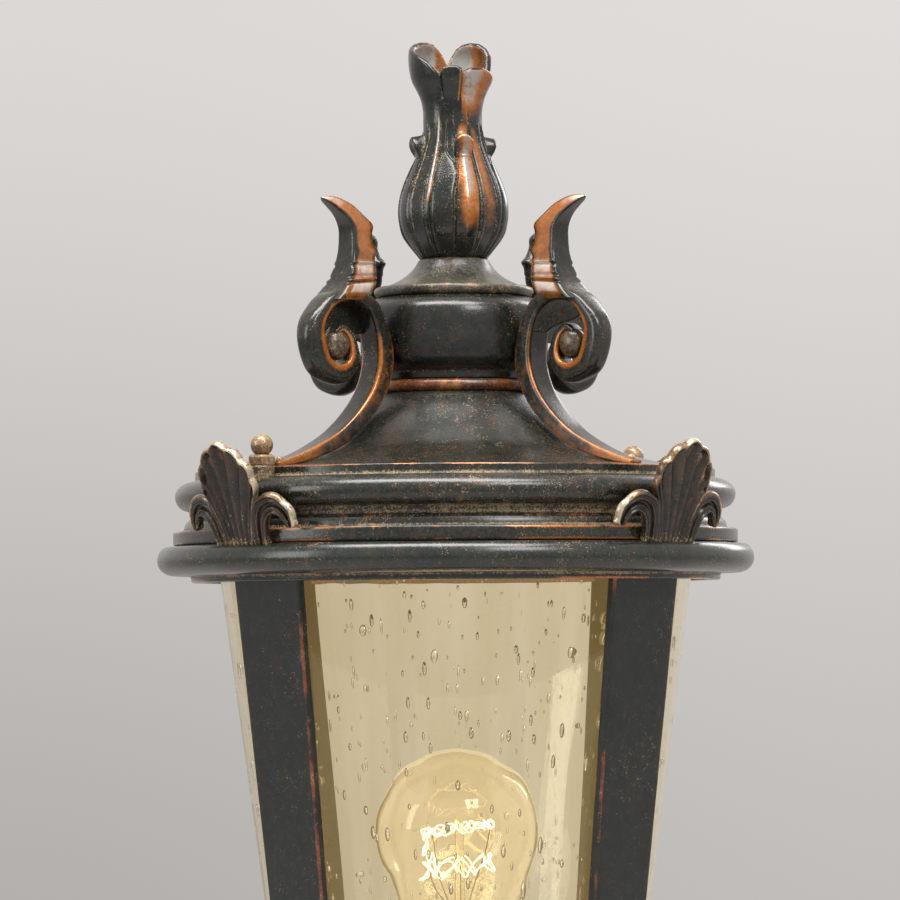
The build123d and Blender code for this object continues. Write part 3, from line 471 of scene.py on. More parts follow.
bar_z = np.linspace(bar_low, bar_high, 120)[:, None]
up_share = (bar_z - floor_z) / glass_h
bar_shape = rounded_section(bar_t / 2, bar_bottom_w / 2, bar_round)
widen = 1 + (bar_top_w / bar_bottom_w - 1) * up_share
bar_grid = metres(np.stack([bar_bottom_r + (bar_top_r - bar_bottom_r) * up_share + bar_shape[:, 0],
                            bar_shape[:, 1] * widen, bar_z + 0 * bar_shape[:, 0]], axis=-1))
inset = bar_bottom_w / 2 - np.abs(bar_shape[:, 1])
bar_polish = 0.85 * bell(inset, red_line_in, red_line_w) * (bar_shape[:, 0] > 0) + 0.3 * (inset < red_line_w)
for name, angle in corner_turn.items():
    bar_piece = skin(f"bar_{name}", turned_to(bar_grid, angle), bar_bronze, "lantern", full=900.0,
                     polish_and_highlight=bar_polish)
    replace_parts(bar_piece, f"corner_bar_{name}")

# Roof: one casting with a swept slope, a band, a fat torus, a cove and a straight skirt that sits on the
# frame ring, hollow below. Two bosses at opposite corners take the studs. Rain has left its slope grey and
# finely flecked.
skirt_low = level("roof_cover", 0)
skirt_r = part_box("roof_cover")[1].x / mm
skirt_top = 18.7
cove_r, cove_top = 96.6, 26.2
torus_r, torus_top = skirt_r - 0.7, 37.0
band_r, band_top = 95.3, 40.4
neck_r, neck_top = 31.0, level("roof_cover", 1)
inner_r = 93.4
axle_r = 4.3
wall = 3.0
slope_shares = [(1, 0), (0.74, 0.065), (0.46, 0.235), (0.3, 0.44), (0.16, 0.7), (0.05, 0.91), (0, 1)]
slope = np.array([(neck_r + (band_r - neck_r) * a, band_top + (neck_top - band_top) * b)
                  for a, b in slope_shares])
torus_mid = (cove_top + torus_top) / 2
outside = softened([
    (inner_r + wall, skirt_low), (skirt_r, skirt_low), (skirt_r, skirt_top), (cove_r + wall, skirt_top),
    quarter((cove_r + wall, skirt_top), (cove_r, cove_top - 3.0), False),
    quarter((cove_r, cove_top - 3.0), (cove_r + wall / 2, cove_top), False, 5),
    bulge((cove_r + wall / 2, cove_top), (torus_r, torus_mid), (band_r, torus_top)),
    (band_r, torus_top + 0.3), (band_r, band_top)])
sweep_up = softened(curve(slope, 90), 1.4, 1)
inside = curve(slope[::-1] - (wall / 2, wall), 40)
roof_outline = np.vstack([outside, sweep_up[1:], (neck_r * 0.6, neck_top), (axle_r, neck_top),
                          (axle_r, neck_top - wall), inside, (inner_r, band_top - wall),
                          (inner_r, band_top - 2 * wall), (inner_r, skirt_low)])
roof_bronze = bronze("roof_bronze", dark=srgb(15, 24, 21), light=srgb(44, 46, 38), rub=-0.1, fleck=-0.05,
                     edge=1.1, shine=0.25, mottle=2.0, settle=0.15, stain=0.3)
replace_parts(lathe("cast_roof", roof_outline, roof_bronze, "roof", 224), "roof_cover")
boss_r, boss_top, boss_ring_r = 5.5, band_top + 0.2, skirt_r - 7.1
boss_low = skirt_low + 6
boss_bore = 2.3
boss_corners = [(boss_bore, boss_low), (boss_r, boss_low), (boss_r, boss_top), (boss_bore, boss_top)]
boss_outline = softened(boss_corners, 0.35, 1)
boss_bronze = bronze("boss_bronze", dark=srgb(66, 58, 44), light=srgb(146, 122, 88),
                     dusty=srgb(204, 174, 128), rubbed=srgb(168, 126, 82), rub=0.05, fleck=0.06, stain=0.2)
corner_spots = {name: [boss_ring_r * mm * part(corner_turn[name]) for part in (math.cos, math.sin)]
                for name in ("front_left", "back_right")}
for name, spot in corner_spots.items():
    lathe(f"roof_boss_{name}", boss_outline, boss_bronze, "roof", 40, spot)

# Ball nuts: brass acorn nuts with a hexagon below a polished ball, screwed down by hand on the two studs.
# They are tan and gold, with dark patina left in the scratches.
nut_brass = bronze("nut_brass", dark=srgb(112, 84, 58), light=srgb(184, 150, 108), rubbed=srgb(196, 156, 110),
                   bright=srgb(222, 194, 150), dusty=srgb(74, 56, 40), rub=0.12, shine=0.24, stain=0.15,
                   pits=0.7)
nut_flats, nut_h, ball_r, ball_sink = 9.0, 4.0, 4.0, 0.6
ball_mid = boss_top + nut_h + ball_r - ball_sink


def rise(value, start, width):
    """0 up to the start, 1 beyond the width past it, and in proportion between them."""
    return np.clip((value - start) / width, 0, 1)


def acorn(at):
    """A grid over a hexagon with bevelled ends, then a ball: the outline's radius times a factor that
    flattens the low part on six sides and fades out above it."""
    sixth_turn = math.pi / 3
    sweep = np.linspace(-math.pi / 2 + 0.62, math.pi / 2, 26)
    dome = np.column_stack([np.cos(sweep) * ball_r, ball_mid + np.sin(sweep) * ball_r])
    hex_r = nut_flats / 2 / math.cos(sixth_turn / 2)
    low = softened([(boss_bore, boss_top), (hex_r - 0.4, boss_top), (hex_r, boss_top + 0.4),
                    (hex_r, boss_top + nut_h - 0.5), (hex_r - 0.9, boss_top + nut_h), dome[0]], 0.25, 1)
    outline = np.vstack([low, dome[1:]])
    turn = full_turn(96)
    from_flat = (turn + sixth_turn / 2) % sixth_turn - sixth_turn / 2
    flat = math.cos(sixth_turn / 2) / np.cos(from_flat)
    six = rise(outline[:, 0], 3.7, 0.6) * (outline[:, 1] <= boss_top + nut_h + 0.05)
    r = outline[:, :1] * (1 + (flat - 1) * six[:, None])
    return upright(r * mm, outline[:, 1:] * mm + frame_z, turn) + (*at, 0.0)


for name, spot in corner_spots.items():
    nut = skin(f"acorn_nut_{name}", acorn(spot), nut_brass, f"{name}_nut", full=1200.0)
    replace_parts(nut, f"ball_nut_{name}")

# Bead ring, collar drum and cone cap: three turned rings threaded on one rod over the roof's neck.
# The bead is rubbed bright copper; the drum and the cone are dark and catch the light on their shoulders.
bead_r, bead_top = 32.2, neck_top + 4.4
drum_foot_r, drum_r, drum_shoulder_r = 30.0, 34.4, 28.6
drum_top = bead_top + 30.8
lip_r, lip_top = 29.4, drum_top + 4.0
cone_base_r, cone_top_r = 26.0, 12.6
cone_top = level("cone_cap", 1)
bead_mid = (neck_top + bead_top) / 2
bead_flat_r = bead_r - 2.2
bead_outline = softened([(axle_r, neck_top),
                         bulge((bead_flat_r, neck_top), (bead_r, bead_mid), (bead_flat_r, bead_top), 7),
                         (axle_r, bead_top)], 0.4, 1)
drum_shares = [(0, 0.1), (0.55, 0.17), (0.93, 0.3), (1, 0.55), (0.8, 0.85)]
drum_side = [(drum_foot_r + (drum_r - drum_foot_r) * a, bead_top + (drum_top - bead_top) * b)
             for a, b in drum_shares]
drum_outline = softened([(axle_r, bead_top), (drum_foot_r, bead_top),
                         curve(drum_side + [(drum_shoulder_r, drum_top)], 50), (axle_r, drum_top)])
cone_side = [(cone_base_r - 0.4, lip_top), (19.5, lip_top + 2.9), (15.2, lip_top + 6.4),
             (cone_top_r, cone_top)]
cone_outline = softened([
    (axle_r, drum_top), bulge((drum_shoulder_r - 2, drum_top), (lip_r, drum_top + 2.4),
                              (lip_r - 1.6, lip_top), 7),
    (cone_base_r, lip_top), curve(cone_side, 30), (axle_r, cone_top)], 0.4)
bead_bronze = bronze("bead_bronze", dark=srgb(62, 36, 22), light=srgb(120, 68, 36), rubbed=srgb(168, 98, 44),
                     bright=srgb(204, 136, 74), rub=0.25, fleck=-0.04, shine=0.28)
drum_bronze = bronze("drum_bronze", dark=srgb(7, 15, 12), light=srgb(24, 30, 25), rub=-0.16, fleck=-0.08,
                     edge=0.45, shine=0.26, stain=0.2)
cone_bronze = bronze("cone_bronze", dark=srgb(34, 38, 34), light=srgb(86, 84, 74), rub=-0.1, fleck=-0.005,
                     edge=0.5, shine=0.36, mottle=1.6)
for node_name, name, outline, material in (("bead_ring", "copper_bead", bead_outline, bead_bronze),
                                           ("collar_drum", "turned_drum", drum_outline, drum_bronze),
                                           ("cone_cap", "turned_cone", cone_outline, cone_bronze)):
    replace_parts(lathe(name, outline, material, "roof", 160), node_name)

# Finial: a tulip cast in one piece. Twelve long leaves wrap its belly, every third turns out at its tip, and
# four broad petals of different heights stand up from the neck round a hollow. Raised leaves are rubbed to
# copper.
# The finial's grey-white colour for full polishing is bare metal and a painted highlight: the white ridge
# line and the pale front petals.
finial_bronze = bronze("finial_bronze", dark=srgb(9, 17, 14), light=srgb(28, 35, 30),
                       rubbed=srgb(170, 94, 32), bright=srgb(202, 126, 52), rub=-0.14, fleck=-0.085,
                       edge=0.16, shine=0.19, settle=0.12, stain=0.15, bare_and_highlight=srgb(170, 167, 161))
leaf_start = 241
leaf_mid, leaf_half_turn, leaf_top = 17, 13, 157
petal_wall = 2.4
petal_end = 353
hollow_floor, hollow_sink = 180.0, 1.2
crown_foot = 176.0
sepal_half_turn, sepal_edge, sepal_foot = 12.4, 2.2, 155
finial_line = curve([(12.0, cone_top), (17.6, 126.2), (19.2, 131.2), (19.7, 136.1), (19.2, 141.0),
                     (17.7, 145.9), (15.6, 150.8), (13.9, 154.8), (12.7, 158.0), (11.6, 161.2),
                     (10.95, 164.2), (10.7, 167.6), (10.85, 172.3), (11.7, 177.2), (13.0, 180.5),
                     (14.6, 183.8), (15.4, 187.0), (15.9, 191.0), (15.8, 195.0), (14.8, 198.0),
                     (13.4, 200.2)], 260)
# Tables in degrees, round the finial or round each quarter of it: the petals' height and how far they stand
# out, the leaves' relief, how far the leaves' ridges and the inside are rubbed, and how pale the front petals
# are painted as a highlight.
sepal_z = [154.8, 158.0, 160.6, 162.4, 163.3, 163.8, 164.4]
sepal_r = [13.9, 14.1, 15.6, 16.2, 15.7, 12.6, 10.9]
rim_turn = [14, 18, 24, 32, 44, 60, 74, 84, 91, 96, 98, 100, 105, 112, 122, 135, 150, 165, 180, 196, 215, 232,
            243, 249, 252, 257, 266, 277, 284, 288, 300, 320, 340, 352]
rim_height = [186.5, 190.8, 194.6, 197.3, 199.2, 199.8, 199.3, 197.7, 195, 192.4, 191.5, 192.6, 195.4, 197.8,
              199.3, 199.8, 199.5, 198.5, 196.8, 195.0, 193.0, 190.3, 187.4, 185.6, 186.4, 187.8, 188.5,
              188.3, 187.3, 186.4, 187.9, 188.3, 187.3, 185.6]
crown_turn = [8, 15, 25, 60, 90, 98, 112, 175, 240, 250, 257, 272, 283, 287, 300, 320, 345]
crown_relief = [0, -1.3, 0, 0.3, 0, -1.3, 0, 0.3, 0, -1.3, 0.6, 0.5, 0.9, -1.7, -1.5, -0.7, 0.2]
leaf_turn = [0, 2, 4, 6, 28, 30.5, 33, 45, 57, 60, 62, 64, 67, 75, 84, 86, 88, 90]
leaf_level = [0.4, 0.4, -0.9, -0.5, -0.5, -1.0, -0.2, 0.4, 0.1, -0.4, -0.9, 0.1, -0.4, -0.55, -0.5, -0.9, 0.4,
              0.4]
ridge_turn = [0, 8, 17, 27, 31, 35, 45, 56, 61, 66, 74, 84, 88]
ridge_rub = [0.2, 0.4, 0.5, 0.3, 0, 0.8, 1.2, 0.9, 0, 0.7, 0.9, 0.7, 0]
petal_turn = [285, 288, 296, 312, 332, 352]
petal_highlight = [0, 0.85, 1.0, 0.97, 0.72, 0.6]
inside_turn = [15, 40, 72, 97, 99, 114, 124, 235, 300]
inside_rub = [0.7, 0.7, 1.05, 1.1, 0.7, 0.75, 1.1, 1.1, 0.8]


def silhouette(z):
    """The finial's radius at a height, without its relief."""
    return np.interp(z, finial_line[:, 1], finial_line[:, 0])


def belly_relief(turn, z):
    """How far the leaves stand out: a table of ridges and grooves round each quarter, plus a pointed leaf
    whose half width closes with height and whose crown is the root of one less the squared share across."""
    q = (turn - leaf_start) % 90
    q = q - 8 * bell(z, 150, 5) * bell(q, 30, 9)
    across = np.abs(q - leaf_mid) / (leaf_half_turn * np.clip((leaf_top - z) / 9, 0.02, 1) ** 0.7)
    pointed = np.where(across < 1, 0.8 + 0.6 * np.sqrt(np.clip(1 - across ** 2, 0, 1)), 0)
    fade = np.interp(z, [cone_top, 126, 155, 165, 168], [0.5, 1, 0.85, 0.7, 0])
    return (np.interp(q, leaf_turn, leaf_level) + pointed) * fade


turn = np.linspace(0, 360, 480, endpoint=False)[None]
low_rows = np.concatenate([np.arange(cone_top, 153, 1.3), np.arange(153, 165, 0.3),
                           np.arange(165, crown_foot, 1.1)])
low_z = low_rows[:, None] + 0 * turn
quarter_turn = (turn - leaf_start) % 90
sepal_off = np.abs(quarter_turn - 45)
cover = 1 - rise(sepal_off, sepal_half_turn, sepal_edge)
body_r = silhouette(low_z)
curled = np.interp(low_z + 3 * (sepal_off / 14) ** 2, sepal_z, sepal_r)
curled = np.where(low_z > sepal_foot, curled, body_r)
relief = belly_relief(turn, low_z) * (1 - cover * (low_z > sepal_foot + 1) * 0.7)
low_r = body_r + cover * np.maximum(curled - body_r, 0) + relief
top_z = np.interp(turn, rim_turn, rim_height, period=360) - petal_wall / 2
stand = np.interp(turn, crown_turn, crown_relief, period=360)
share = np.linspace(0, 1, 26)[:, None]
crown_z = crown_foot + (top_z - crown_foot) * share
crown_r = silhouette(crown_z) + stand * np.minimum(share * 2, 1)
over = np.linspace(0, math.pi, 9)[1:-1, None]
rim_mid = crown_r[-1:] - petal_wall / 2
over_r = rim_mid + petal_wall / 2 * np.cos(over)
over_z = top_z + petal_wall / 2 * np.sin(over)
inner_z = hollow_floor + (top_z - hollow_floor) * share[::-2]
inner_wall_r = silhouette(inner_z) + stand - petal_wall
floor_share = np.linspace(0.25, 1, 5)[:, None]
floor_ring_r = inner_wall_r[-1:] * (1 - floor_share)
floor_ring_z = hollow_floor - hollow_sink * np.sqrt(floor_share) + 0 * turn
finial_r = np.vstack([low_r, crown_r, over_r, inner_wall_r, floor_ring_r])
finial_z = np.vstack([low_z, crown_z, over_z, inner_z, floor_ring_z])
finial_grid = metres(upright(finial_r, finial_z, np.radians(turn)))
sunny = bell((turn - 302 + 180) % 360 - 180, 0, 44)
raised = np.interp(quarter_turn, ridge_turn, ridge_rub)
low_polish = sunny * raised * np.interp(low_z, [122, 132, 150, 165, 170], [0.05, 0.75, 0.95, 0.85, 0.1])
# A painted highlight: a white-silver line laid as full polishing on the one leaf ridge at the front left.
painted_highlight_line = 1.5 * bell(quarter_turn, 1.2, 2.2) * (np.abs(turn - leaf_start) < 9)
low_polish = np.maximum(low_polish, painted_highlight_line * np.interp(low_z, [136, 143, 166, 172], [0, 1, 1, 0.3]))
# Pale near-white on the petals that face front right: a painted highlight, laid as full polishing.
pale_front_highlight = np.interp(turn, petal_turn, petal_highlight) * (turn < petal_end)
low_polish = np.maximum(low_polish, pale_front_highlight * np.interp(low_z, [165, 175], [0.2, 0.9]))
crown_polish = np.maximum(pale_front_highlight * np.interp(crown_z, [174, 184], [0.9, 1]), 0.75 * bell(turn, 281, 2.6))
inner_polish = np.interp(turn, inside_turn, inside_rub)
finial_polish = np.vstack([low_polish, crown_polish, 0.42 + 0 * over_r, inner_polish + 0 * inner_wall_r,
                           0 * floor_ring_r])
finial_piece = skin("tulip_finial", finial_grid, finial_bronze, "roof", full=520.0, passes=2,
                    polish_and_highlight=finial_polish)
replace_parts(finial_piece, "finial")

# Scrolls: four cast brackets that stand on the roof's corners, each an S-shaped strap that rolls up into a
# volute round a knob, with a horn-shaped leaf growing from its top. A small round-headed screw holds each
# strap's end.
scroll_bronze = bronze("scroll_bronze", dark=srgb(11, 20, 17), light=srgb(44, 44, 35),
                       rubbed=srgb(172, 96, 30), bright=srgb(202, 124, 48), rub=-0.1, fleck=-0.075, edge=0.4,
                       shine=0.22, mottle=1.2, stain=0.3)
knob_bronze = bronze("knob_bronze", dark=srgb(50, 42, 32), light=srgb(110, 92, 70), fleck=-0.02, edge=0.3,
                     shine=0.26)
# The strap's stations: radius and height of its middle line, half its depth and its width, and the power that
# squares the side which faces into the coil.
strap_stations = curve([
    (90.5, 41.2, 0.9, 2.6, 0.35), (81.6, 43.3, 1.6, 3.4, 0.35), (71.5, 46.5, 2.3, 4.2, 0.35),
    (60.4, 51.6, 2.9, 4.8, 0.35), (50.3, 59.3, 3.3, 5.1, 0.35), (42.8, 68.3, 3.6, 5.2, 0.35),
    (39.0, 78.9, 3.9, 5.2, 0.35), (40.5, 90.0, 3.3, 5.2, 0.4), (45.5, 99.0, 3.0, 5.2, 0.45),
    (54.5, 102.8, 2.4, 5.2, 0.5), (63.8, 101.2, 2.2, 5.2, 0.55), (69.2, 96.8, 2.4, 5.0, 0.6),
    (72.6, 91.0, 3.6, 4.6, 0.7), (72.4, 84.8, 4.2, 4.4, 0.75), (69.5, 77.9, 4.2, 4.2, 0.75),
    (65.0, 75.0, 3.7, 4.1, 0.75), (59.5, 74.2, 3.6, 4.0, 0.75), (54.8, 76.8, 3.1, 3.9, 0.7),
    (53.2, 82.0, 2.3, 3.8, 0.65), (54.8, 87.9, 1.7, 3.3, 0.6), (58.8, 90.8, 1.3, 3.0, 0.6),
    (62.4, 88.8, 1.0, 2.8, 0.5)], 260)
strap_power = 0.28
knob_spot, knob_r, knob_half_w = (60.2, 84.8), 5.6, 4.2
horn_outer = [(66.0, 100.6), (62.8, 103.4), (59.3, 107.4), (56.8, 112.4), (55.3, 117.8), (54.9, 123.4),
              (55.5, 127.8), (58.1, 131.5), (62.0, 134.3), (65.0, 136.0), (66.6, 137.2)]
horn_inner = [(46.0, 101.2), (42.6, 105.2), (41.2, 109.2), (41.3, 113.4), (41.8, 118.4), (42.8, 124.6),
              (45.8, 130.6), (50.8, 134.8), (56.6, 137.2), (61.6, 138.1), (66.4, 137.7)]
horn_half_w = [6.2, 6.1, 5.4, 4.5, 3.9, 3.5, 3.3, 2.8, 2.2, 1.5, 0.6]
horn_powers, horn_wedge = (0.25, 0.6), 0.3
pull_from, pull_share = 48, 0.72


def between(outer, inner, half_width, outer_power, inner_power, wedge=0.0, count=44):
    """A bar between two edge lines in the plane of radius and height: at each station an oval section from
    the inner to the outer edge, whose sine and cosine are raised to a power that squares its corners, and
    whose width grows by the share wedge towards the outer edge."""
    section = full_turn(count)
    power = np.where(np.sin(section) > 0, outer_power, inner_power)
    deep = np.sign(np.sin(section)) * np.abs(np.sin(section)) ** power
    wide = np.sign(np.cos(section)) * np.abs(np.cos(section)) ** power * (1 + wedge * deep)
    middle, half = (outer + inner) / 2, (outer - inner) / 2
    flat = middle[:, None] + half[:, None] * deep[..., None]
    points = np.stack([flat[..., 0], half_width[:, None] * wide, flat[..., 1]], axis=-1)
    return metres(points), deep, wide


def ball(rings, sides):
    """A ball of radius 1: belts from pole to pole, as cosine and sine of a half turn, and angles round
    each."""
    belt = np.linspace(-math.pi / 2, math.pi / 2, rings)[:, None]
    return upright(np.cos(belt), np.sin(belt), full_turn(sides))


def pulled_in(r):
    """Radii, with what they reach past a limit drawn in to a share of it, for the back horns' lesser curl."""
    return np.where(r > pull_from, pull_from + (r - pull_from) * pull_share, r)


strap_line, strap_deep = strap_stations[:, :2], strap_stations[:, 2:3]
strap_slope = np.gradient(strap_line, axis=0)
strap_slope /= np.hypot(*strap_slope.T)[:, None]
strap_right = np.column_stack([strap_slope[:, 1], -strap_slope[:, 0]])
strap, strap_in, strap_wide = between(strap_line + strap_deep * strap_right,
                                      strap_line - strap_deep * strap_right, strap_stations[:, 3],
                                      strap_power, strap_stations[:, 4:])
strap_share = np.linspace(0, 1, len(strap_line))[:, None]
front_face = rise(np.abs(strap_wide), 0.5, 0.3)
rolled_up = np.interp(strap_share, [0.44, 0.5, 0.92, 1], [0, 1, 1, 0.5])
coil_edge = front_face * rise(strap_in, -0.1, 0.6) * rolled_up
# Along the strap's outer arris: rubbed copper, with a painted white highlight line where it is near full.
top_arris_rub_and_highlight = rise(np.abs(strap_wide * strap_in), 0.7, 0.16) * (strap_in > 0)
top_arris_rub_and_highlight = top_arris_rub_and_highlight * np.interp(strap_share, [0, 0.05, 0.2, 0.3, 0.38], [0.5, 0.78, 0.95, 0.75, 0])
side_tan = front_face * np.interp(strap_share, [0, 0.1, 0.3, 0.4], [0.6, 0.5, 0.4, 0])
strap_polish = np.maximum(0.8 * coil_edge, np.maximum(top_arris_rub_and_highlight, side_tan))
knob = metres(ball(20, 32)[..., [0, 2, 1]] * (knob_r, knob_half_w, knob_r) + (knob_spot[0], 0, knob_spot[1]))
horn_count = 150
outer_edge, inner_edge = curve(horn_outer, horn_count), curve(horn_inner, horn_count)
horn_z = (outer_edge[:, 1] + inner_edge[:, 1]) / 2
inner_edge[:, 0] -= 1.9 * bell(horn_z, 119.0, 1.5) + 2.3 * bell(horn_z, 127.6, 2.2)
cuts = sum(deep * bell(horn_z, z, width) for deep, z, width in (
    (1, 113.7, 0.5), (1.1, 109.8, 0.6), (0.8, 107.6, 0.5), (-0.5, 114.8, 0.5), (-0.5, 108.7, 0.4)))
horn_width = curve([(w, 0) for w in horn_half_w], horn_count)[:, 0] * (1 - 0.13 * cuts)
horn, horn_deep, horn_wide = between(outer_edge, inner_edge, horn_width, *horn_powers, horn_wedge)
side_face = rise(np.abs(horn_wide), 0.5, 0.3) * np.clip((1.0 - horn_deep) / 0.4, 0, 1)
# Bands up the horn's side: copper rubbing, and near-white painted highlights along the ribs and the faces
# between the grooves.
rib_rub_and_highlight = np.interp(horn_z, [102, 104, 107, 107.4, 110.5, 111, 113.2, 114.5, 116, 134, 138],
                  [0.6, 0.95, 0.98, 0.7, 0.98, 0.9, 0.98, 0.98, 0.72, 0.78, 0.98])
toothed = np.interp(horn_z, [114, 116, 128, 130], [0, 1, 1, 0])[:, None]
# The inner edge's lobes turn near white: a painted highlight as well as rubbing.
pale_edge_highlight = 0.97 * rise(-horn_deep, 0.55, 0.25) * toothed
horn_polish = side_face * np.maximum(rib_rub_and_highlight[:, None], pale_edge_highlight)
curl_share = rise(horn_z, 118, 12)
back_outer = outer_edge.copy()
back_inner = inner_edge - np.column_stack([3.2 * bell(horn_z, 118, 8), 0 * horn_z])
for edge in (back_outer, back_inner):
    edge[:, 0] += (pulled_in(edge[:, 0]) - edge[:, 0]) * curl_share
back_horn = between(back_outer, back_inner, horn_width, *horn_powers, horn_wedge)[0]
web_outer = curve([(50.5, 89.0), (53.5, 90.5), (58.5, 92.0), (64.0, 93.0), (69.0, 95.0)], 30)
web_inner = curve([(43.0, 89.5), (45.0, 94.5), (50.0, 99.5), (57.0, 101.5), (65.0, 100.0)], 30)
web = between(web_outer, web_inner, np.full(30, 0.8), 0.4, 0.4, 0.0, 16)[0]
web[..., 1] -= 3.4 * mm
for name, angle in corner_turn.items():
    strap_piece = skin(f"scroll_strap_{name}", turned_to(strap, angle), scroll_bronze, "roof",
                       full=620.0, polish_and_highlight=strap_polish)
    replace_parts(strap_piece, f"scroll_{name}")
    skin(f"scroll_knob_{name}", turned_to(knob, angle), knob_bronze, "roof")
    skin(f"scroll_web_{name}", turned_to(web, angle), scroll_bronze, "roof")
    skin(f"scroll_horn_{name}", turned_to(back_horn if "back" in name else horn, angle), scroll_bronze,
         "roof", full=620.0, polish_and_highlight=horn_polish)

# Palmettes: four cast shells that lean out from the frame ring's corners. A tall fluted tongue stands between
# two fluted arms that curl down, all rising from one foot. Their edges are rubbed to pale gold, which towards
# the tongue's top and right side is also a painted highlight.
palm_lean = math.radians(19)
palm_back_r = skirt_r + 0.35
palm_sink = 1.2
palm_t = 2.6
palm_bronze = bronze("palm_bronze", dark=srgb(16, 27, 22), light=srgb(66, 50, 38), rubbed=srgb(126, 82, 52),
                     bright=srgb(176, 144, 104), bare_and_highlight=srgb(212, 196, 170), dusty=srgb(190, 160, 112),
                     rub=-0.12, fleck=-0.05, edge=0.6, shine=0.24, settle=-0.1, stain=0.55, pits=0.8,
                     foot=frame_z + rim_top * mm)
tongue_outline = curve([(-10.6, 16.8), (-11.7, 22.4), (-11.0, 27.4), (-8.4, 32.0), (-4.6, 35.6), (0, 37.6),
                        (4.6, 35.6), (8.4, 32.0), (11.0, 27.4), (11.7, 22.4), (10.6, 16.8)], 121)
tongue_foot, tongue_heart = 6.6, 17
tongue_flutes, arm_flutes = 7, 3
edge_round, lip_w, lip_h = 0.9, 1.5, 0.35
ridge_share = 0.3
arm_path = [(9.7, 0, 3.1), (10.0, 4.6, 3.2), (11.0, 9.6, 3.5), (13.4, 13.4, 3.9), (17.6, 14.8, 3.6),
            (21.2, 12.8, 3.0), (23.0, 9.6, 2.4), (23.6, 7.0, 1.8), (23.7, 6.0, 0.6)]


def shell_wall(from_edge, hollow, swell):
    """Front and back heights of a cast shell over its back plane: both round over within a short way from the
    edge, as the root of one less the squared share left, a lip stands along the edge, and the front sinks by
    hollow."""
    rounding = np.sqrt(1 - (1 - rise(from_edge, 0, edge_round)) ** 2)
    lip = 1 - rise(from_edge, edge_round, lip_w)
    front = palm_t / 2 + rounding * (palm_t / 2 + swell - hollow * (1 - lip) + lip_h * lip)
    return front, palm_t / 2 * (1 - rounding), lip


def on_palmette(x, y, out):
    """From the palmette's plane, x across, y up and out towards the viewer, to a place over the X axis: the
    plane leans out, and x bends round the lantern's axis."""
    r = palm_back_r + y * math.sin(palm_lean) + out * math.cos(palm_lean)
    z = rim_top + y * math.cos(palm_lean) - out * math.sin(palm_lean)
    return metres(upright(r, z, x / palm_back_r))


def there_and_back(values):
    """The front's values and then the back's, in one row round the shell."""
    return np.hstack([values, values[:, ::-1]])


def both_sides(x, y, front, back):
    """The front's grid and then the back's, in one row round the shell."""
    return np.concatenate([on_palmette(x, y, front), on_palmette(x, y, back)[:, ::-1]], axis=1)


def rubbed_lip(lip, high, ridge):
    """The larger of the lip's square times how far it is rubbed, which towards the tongue's top and right
    side is also a painted highlight, and the rub on the ridges between the flutes."""
    return np.maximum(there_and_back(lip) ** 2 * there_and_back(high), there_and_back(ridge))


u = np.sin(np.linspace(-math.pi / 2, math.pi / 2, 99))
v = np.sin(np.linspace(0, math.pi / 2, 60))[:, None]
outline_share = np.linspace(-1, 1, len(tongue_outline))
edge_x = np.interp(u, outline_share, tongue_outline[:, 0])
edge_y = np.interp(u, outline_share, tongue_outline[:, 1])
flute = np.abs(np.sin(math.pi * tongue_flutes * (u + 1) / 2))
scallop = flute * v ** 6
reach = np.hypot(edge_x, edge_y - tongue_heart)
tongue_x = tongue_foot * u + (edge_x - tongue_foot * u) * v ** 1.5 + scallop * edge_x / reach
tongue_y = edge_y * v + scallop * (edge_y - tongue_heart) / reach - palm_sink * (1 - v)
from_edge = np.minimum((1 - v) * edge_y, (1 - np.abs(u)) * np.abs(tongue_x[:, -1:]))
*tongue_wall, tongue_lip = shell_wall(from_edge, 2.9 * flute * (0.3 + 0.7 * v), 0.9 * (1 - u ** 2))
tongue = both_sides(tongue_x, tongue_y, *tongue_wall)
ridge = 0.5 * (1 - rise(flute, 0, ridge_share)) * np.clip(v * 3, 0, 1)
# Rubbed lip, paler towards the tongue's top and right side: there the pale gold is a painted highlight.
rub_and_highlight = 0.42 + 0.5 * np.interp(u, [-1, -0.35, -0.1, 1], [0.2, 0.6, 1, 1]) * np.clip((v - 0.3) * 3, 0, 1)
tongue_polish = rubbed_lip(tongue_lip, rub_and_highlight, ridge)
arm = curve(arm_path, 90)
arm_slope = np.gradient(arm[:, :2], axis=0)
arm_slope /= np.hypot(*arm_slope.T)[:, None]
run = np.linspace(0, 1, 90)[:, None]
side = np.sin(np.linspace(-math.pi / 2, math.pi / 2, 49))
arm_scallop = 0.7 * np.abs(np.sin(math.pi * 5 * run)) * np.clip(side, 0, 1) ** 3 * (run > 0.35)
offset = arm[:, 2:] * side + arm_scallop
arm_x = arm[:, :1] - offset * arm_slope[:, 1:]
arm_y = arm[:, 1:2] + offset * arm_slope[:, :1] - palm_sink * (1 - np.clip(run * 8, 0, 1))
arm_from_edge = np.minimum((1 - np.abs(side)) * arm[:, 2:], (1 - run) * 20)
arm_flute = np.abs(np.sin(math.pi * arm_flutes * (side + 1) / 2))
*arm_wall, arm_lip = shell_wall(arm_from_edge, 1.8 * arm_flute, 0.3)
arm_outside = 0.95 * np.clip(side * 2, 0, 1) * np.clip((run - 0.35) * 4, 0, 1)
arm_ridge = 0.5 * (1 - rise(arm_flute, 0, ridge_share)) * np.clip(run * 5, 0, 1)
arm_polish = rubbed_lip(arm_lip, arm_outside, arm_ridge)
arms = {"left": both_sides(-arm_x, arm_y, *arm_wall), "right": both_sides(arm_x, arm_y, *arm_wall)}
